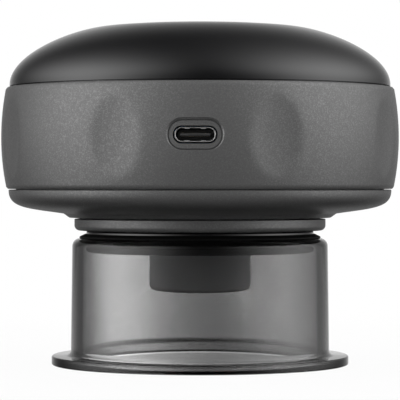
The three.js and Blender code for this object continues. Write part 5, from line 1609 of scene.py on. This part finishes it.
@dataclass
class Studio:
    """The white floor and surround, the soft lights, and the camera at the photograph's angle."""

    camera_distance: float = 563.0
    camera_height: float = 42.44
    camera_turn: float = 0.0227
    camera_pitch: float = 0.0072
    lens: float = 216.1
    sensor: float = 36.0
    floor_radius: float = 260.0
    floor_fade: Point = (120.0, 254.8)
    floor_height: float = -0.05
    floor_white: Colour = (0.95, 0.95, 0.95)
    floor_lift: float = 0.94
    cup_shade: float = 0.5
    cup_edge: Point = (25.0, 28.5)
    seen_through: Point = (32.0, 50.0)
    room: float = 0.05
    backdrop: float = 0.65
    backdrop_tightness: float = 7.0
    inner_gain: float = 15.0
    inner_glow: float = 0.2
    panel: float = 2.0
    panel_middle: float = 0.13
    panel_end: float = 0.30
    boxes_rise: Point = (-0.75, -0.25)
    fills_rise: Point = (-0.7, 0.02)
    boxes: tuple[SoftLight, ...] = (
        SoftLight(-71, 24, 3.3, 4.3),
        SoftLight(83, 29, 3.2, 4.3),
        SoftLight(-68, -12, 0.9, 9.0),
        SoftLight(78, -12, 0.5, 9.0),
    )
    fills: tuple[SoftLight, ...] = (
        SoftLight(-38, 7, 1.5, 2.0),
        SoftLight(40, 7, 1.5, 2.0),
        SoftLight(180, 25, 1.4, 1.5),
    )

    def build(self) -> None:
        """Sets up the whole studio."""
        bpy.context.scene.view_settings.view_transform = "Standard"
        self.camera()
        self.floor()
        self.surround()

    def camera(self) -> None:
        """The camera, level with the massager and a little to its right."""
        data = bpy.data.cameras.new("camera")
        data.lens = self.lens
        data.sensor_width = self.sensor
        data.clip_start, data.clip_end = 0.01, 50
        item = bpy.data.objects.new("camera", data)
        bpy.context.scene.collection.objects.link(item)
        x = self.camera_distance * math.sin(self.camera_turn)
        y = -self.camera_distance * math.cos(self.camera_turn)
        item.location = (x * MM, y * MM, self.camera_height * MM)
        item.rotation_euler = (QUARTER_TURN - self.camera_pitch, 0, self.camera_turn)
        bpy.context.scene.camera = item

    @staticmethod
    def rays(recipe: Recipe) -> tuple[Signal, ...]:
        """Sorts the rays that see the surroundings.

        Args:
            recipe: the nodes to add to.

        Returns:
            1 for rays from the camera, 1 for those that came straight through clear plastic, 1 for mirrored rays,
            1 for rays that a dull surface has scattered, and 1 for rays that were in the cup.
        """
        kinds = ("Is Camera Ray", "Is Transmission Ray", "Is Glossy Ray")
        depths = ("Diffuse Depth", "Glossy Depth", "Transmission Depth")
        camera, clear, glossy, scatterings, mirrorings, crossings = (
            recipe.node("ShaderNodeLightPath", output=name) for name in kinds + depths
        )
        straight = (1 - (scatterings + mirrorings)).larger(0.0)
        return camera, clear * straight, glossy, scatterings.ramp(0, 1), crossings.ramp(2, 4)

    def floor(self) -> None:
        """A pale, thin disc under the massager, which keeps the shadow, lets the white through and fades out."""
        disc = Workpiece.turned("floor", [(0, 0), (self.floor_radius, 0)], 96)
        recipe = Recipe.titled("floor")
        camera, through, *_ = self.rays(recipe)
        grain = recipe.noise(40, 3)
        paint = recipe.node("ShaderNodeBsdfDiffuse", {"Color": recipe.shade(self.floor_white, grain, 0.01)})
        open_air = recipe.node("ShaderNodeBsdfTransparent")
        lift = self.floor_lift - through * (1 - recipe.reach().ramp(*self.cup_edge)) * self.cup_shade
        mixed = recipe.node("ShaderNodeMixShader", {0: lift, 1: paint, 2: open_air})
        fade = recipe.reach().ramp(*self.floor_fade).larger(1 - (camera + through))
        fade = fade.larger(through * recipe.reach().ramp(*self.seen_through))
        recipe.finish(recipe.node("ShaderNodeMixShader", {0: fade, 1: mixed, 2: open_air}), "Surface")
        disc.item.data.materials.append(recipe.material)
        disc.move(z=self.floor_height)

    def surround(self) -> None:
        """White to the camera. Mirrored rays meet two soft boxes, and scattered ones an even, soft light."""
        world = bpy.data.worlds.new("studio")
        bpy.context.scene.world = world
        world.use_nodes = True
        world.cycles.sampling_method = "NONE"
        recipe = Recipe(world.node_tree, "Generated")
        camera, through, glossy, scattered, inner = self.rays(recipe)
        across, behind, height = (
            recipe.node("ShaderNodeSeparateXYZ", {0: recipe.coordinates}, name) for name in ("X", "Y", "Z")
        )
        left = 0 - across
        panel = left.ramp(0, self.panel_middle) * (1 - left.ramp(self.panel_middle, self.panel_end)) * self.panel
        boxes = sum((light.glow(recipe) for light in self.boxes), self.room) * height.ramp(*self.boxes_rise)
        boxes = boxes * (1 + inner * self.inner_gain) + inner * self.inner_glow
        fills = sum((light.glow(recipe) for light in self.fills), self.room) * height.ramp(*self.fills_rise)
        backdrop = behind.larger(0.0) ** self.backdrop_tightness * self.backdrop
        lights = scattered * fills + (1 - scattered) * (boxes + glossy * backdrop)
        strength = camera + through * (1 + panel) + (1 - (camera + through)) * lights
        background = recipe.nodes["Background"]
        recipe.plug(background.inputs["Strength"], strength)
        recipe.plug(background.inputs["Color"], (1.0, 1.0, 1.0))


def main() -> None:
    """Builds the massager's visible pieces and the studio around them."""
    logging.basicConfig(level=logging.INFO, format="%(message)s", stream=sys.stdout)
    for assembly in (SuctionHead(), Case(), ChargePort(), ControlPanel(), Works(), Studio()):
        assembly.build()
        LOG.info("%s is built", type(assembly).__name__)


if __name__ == "__main__":
    main()
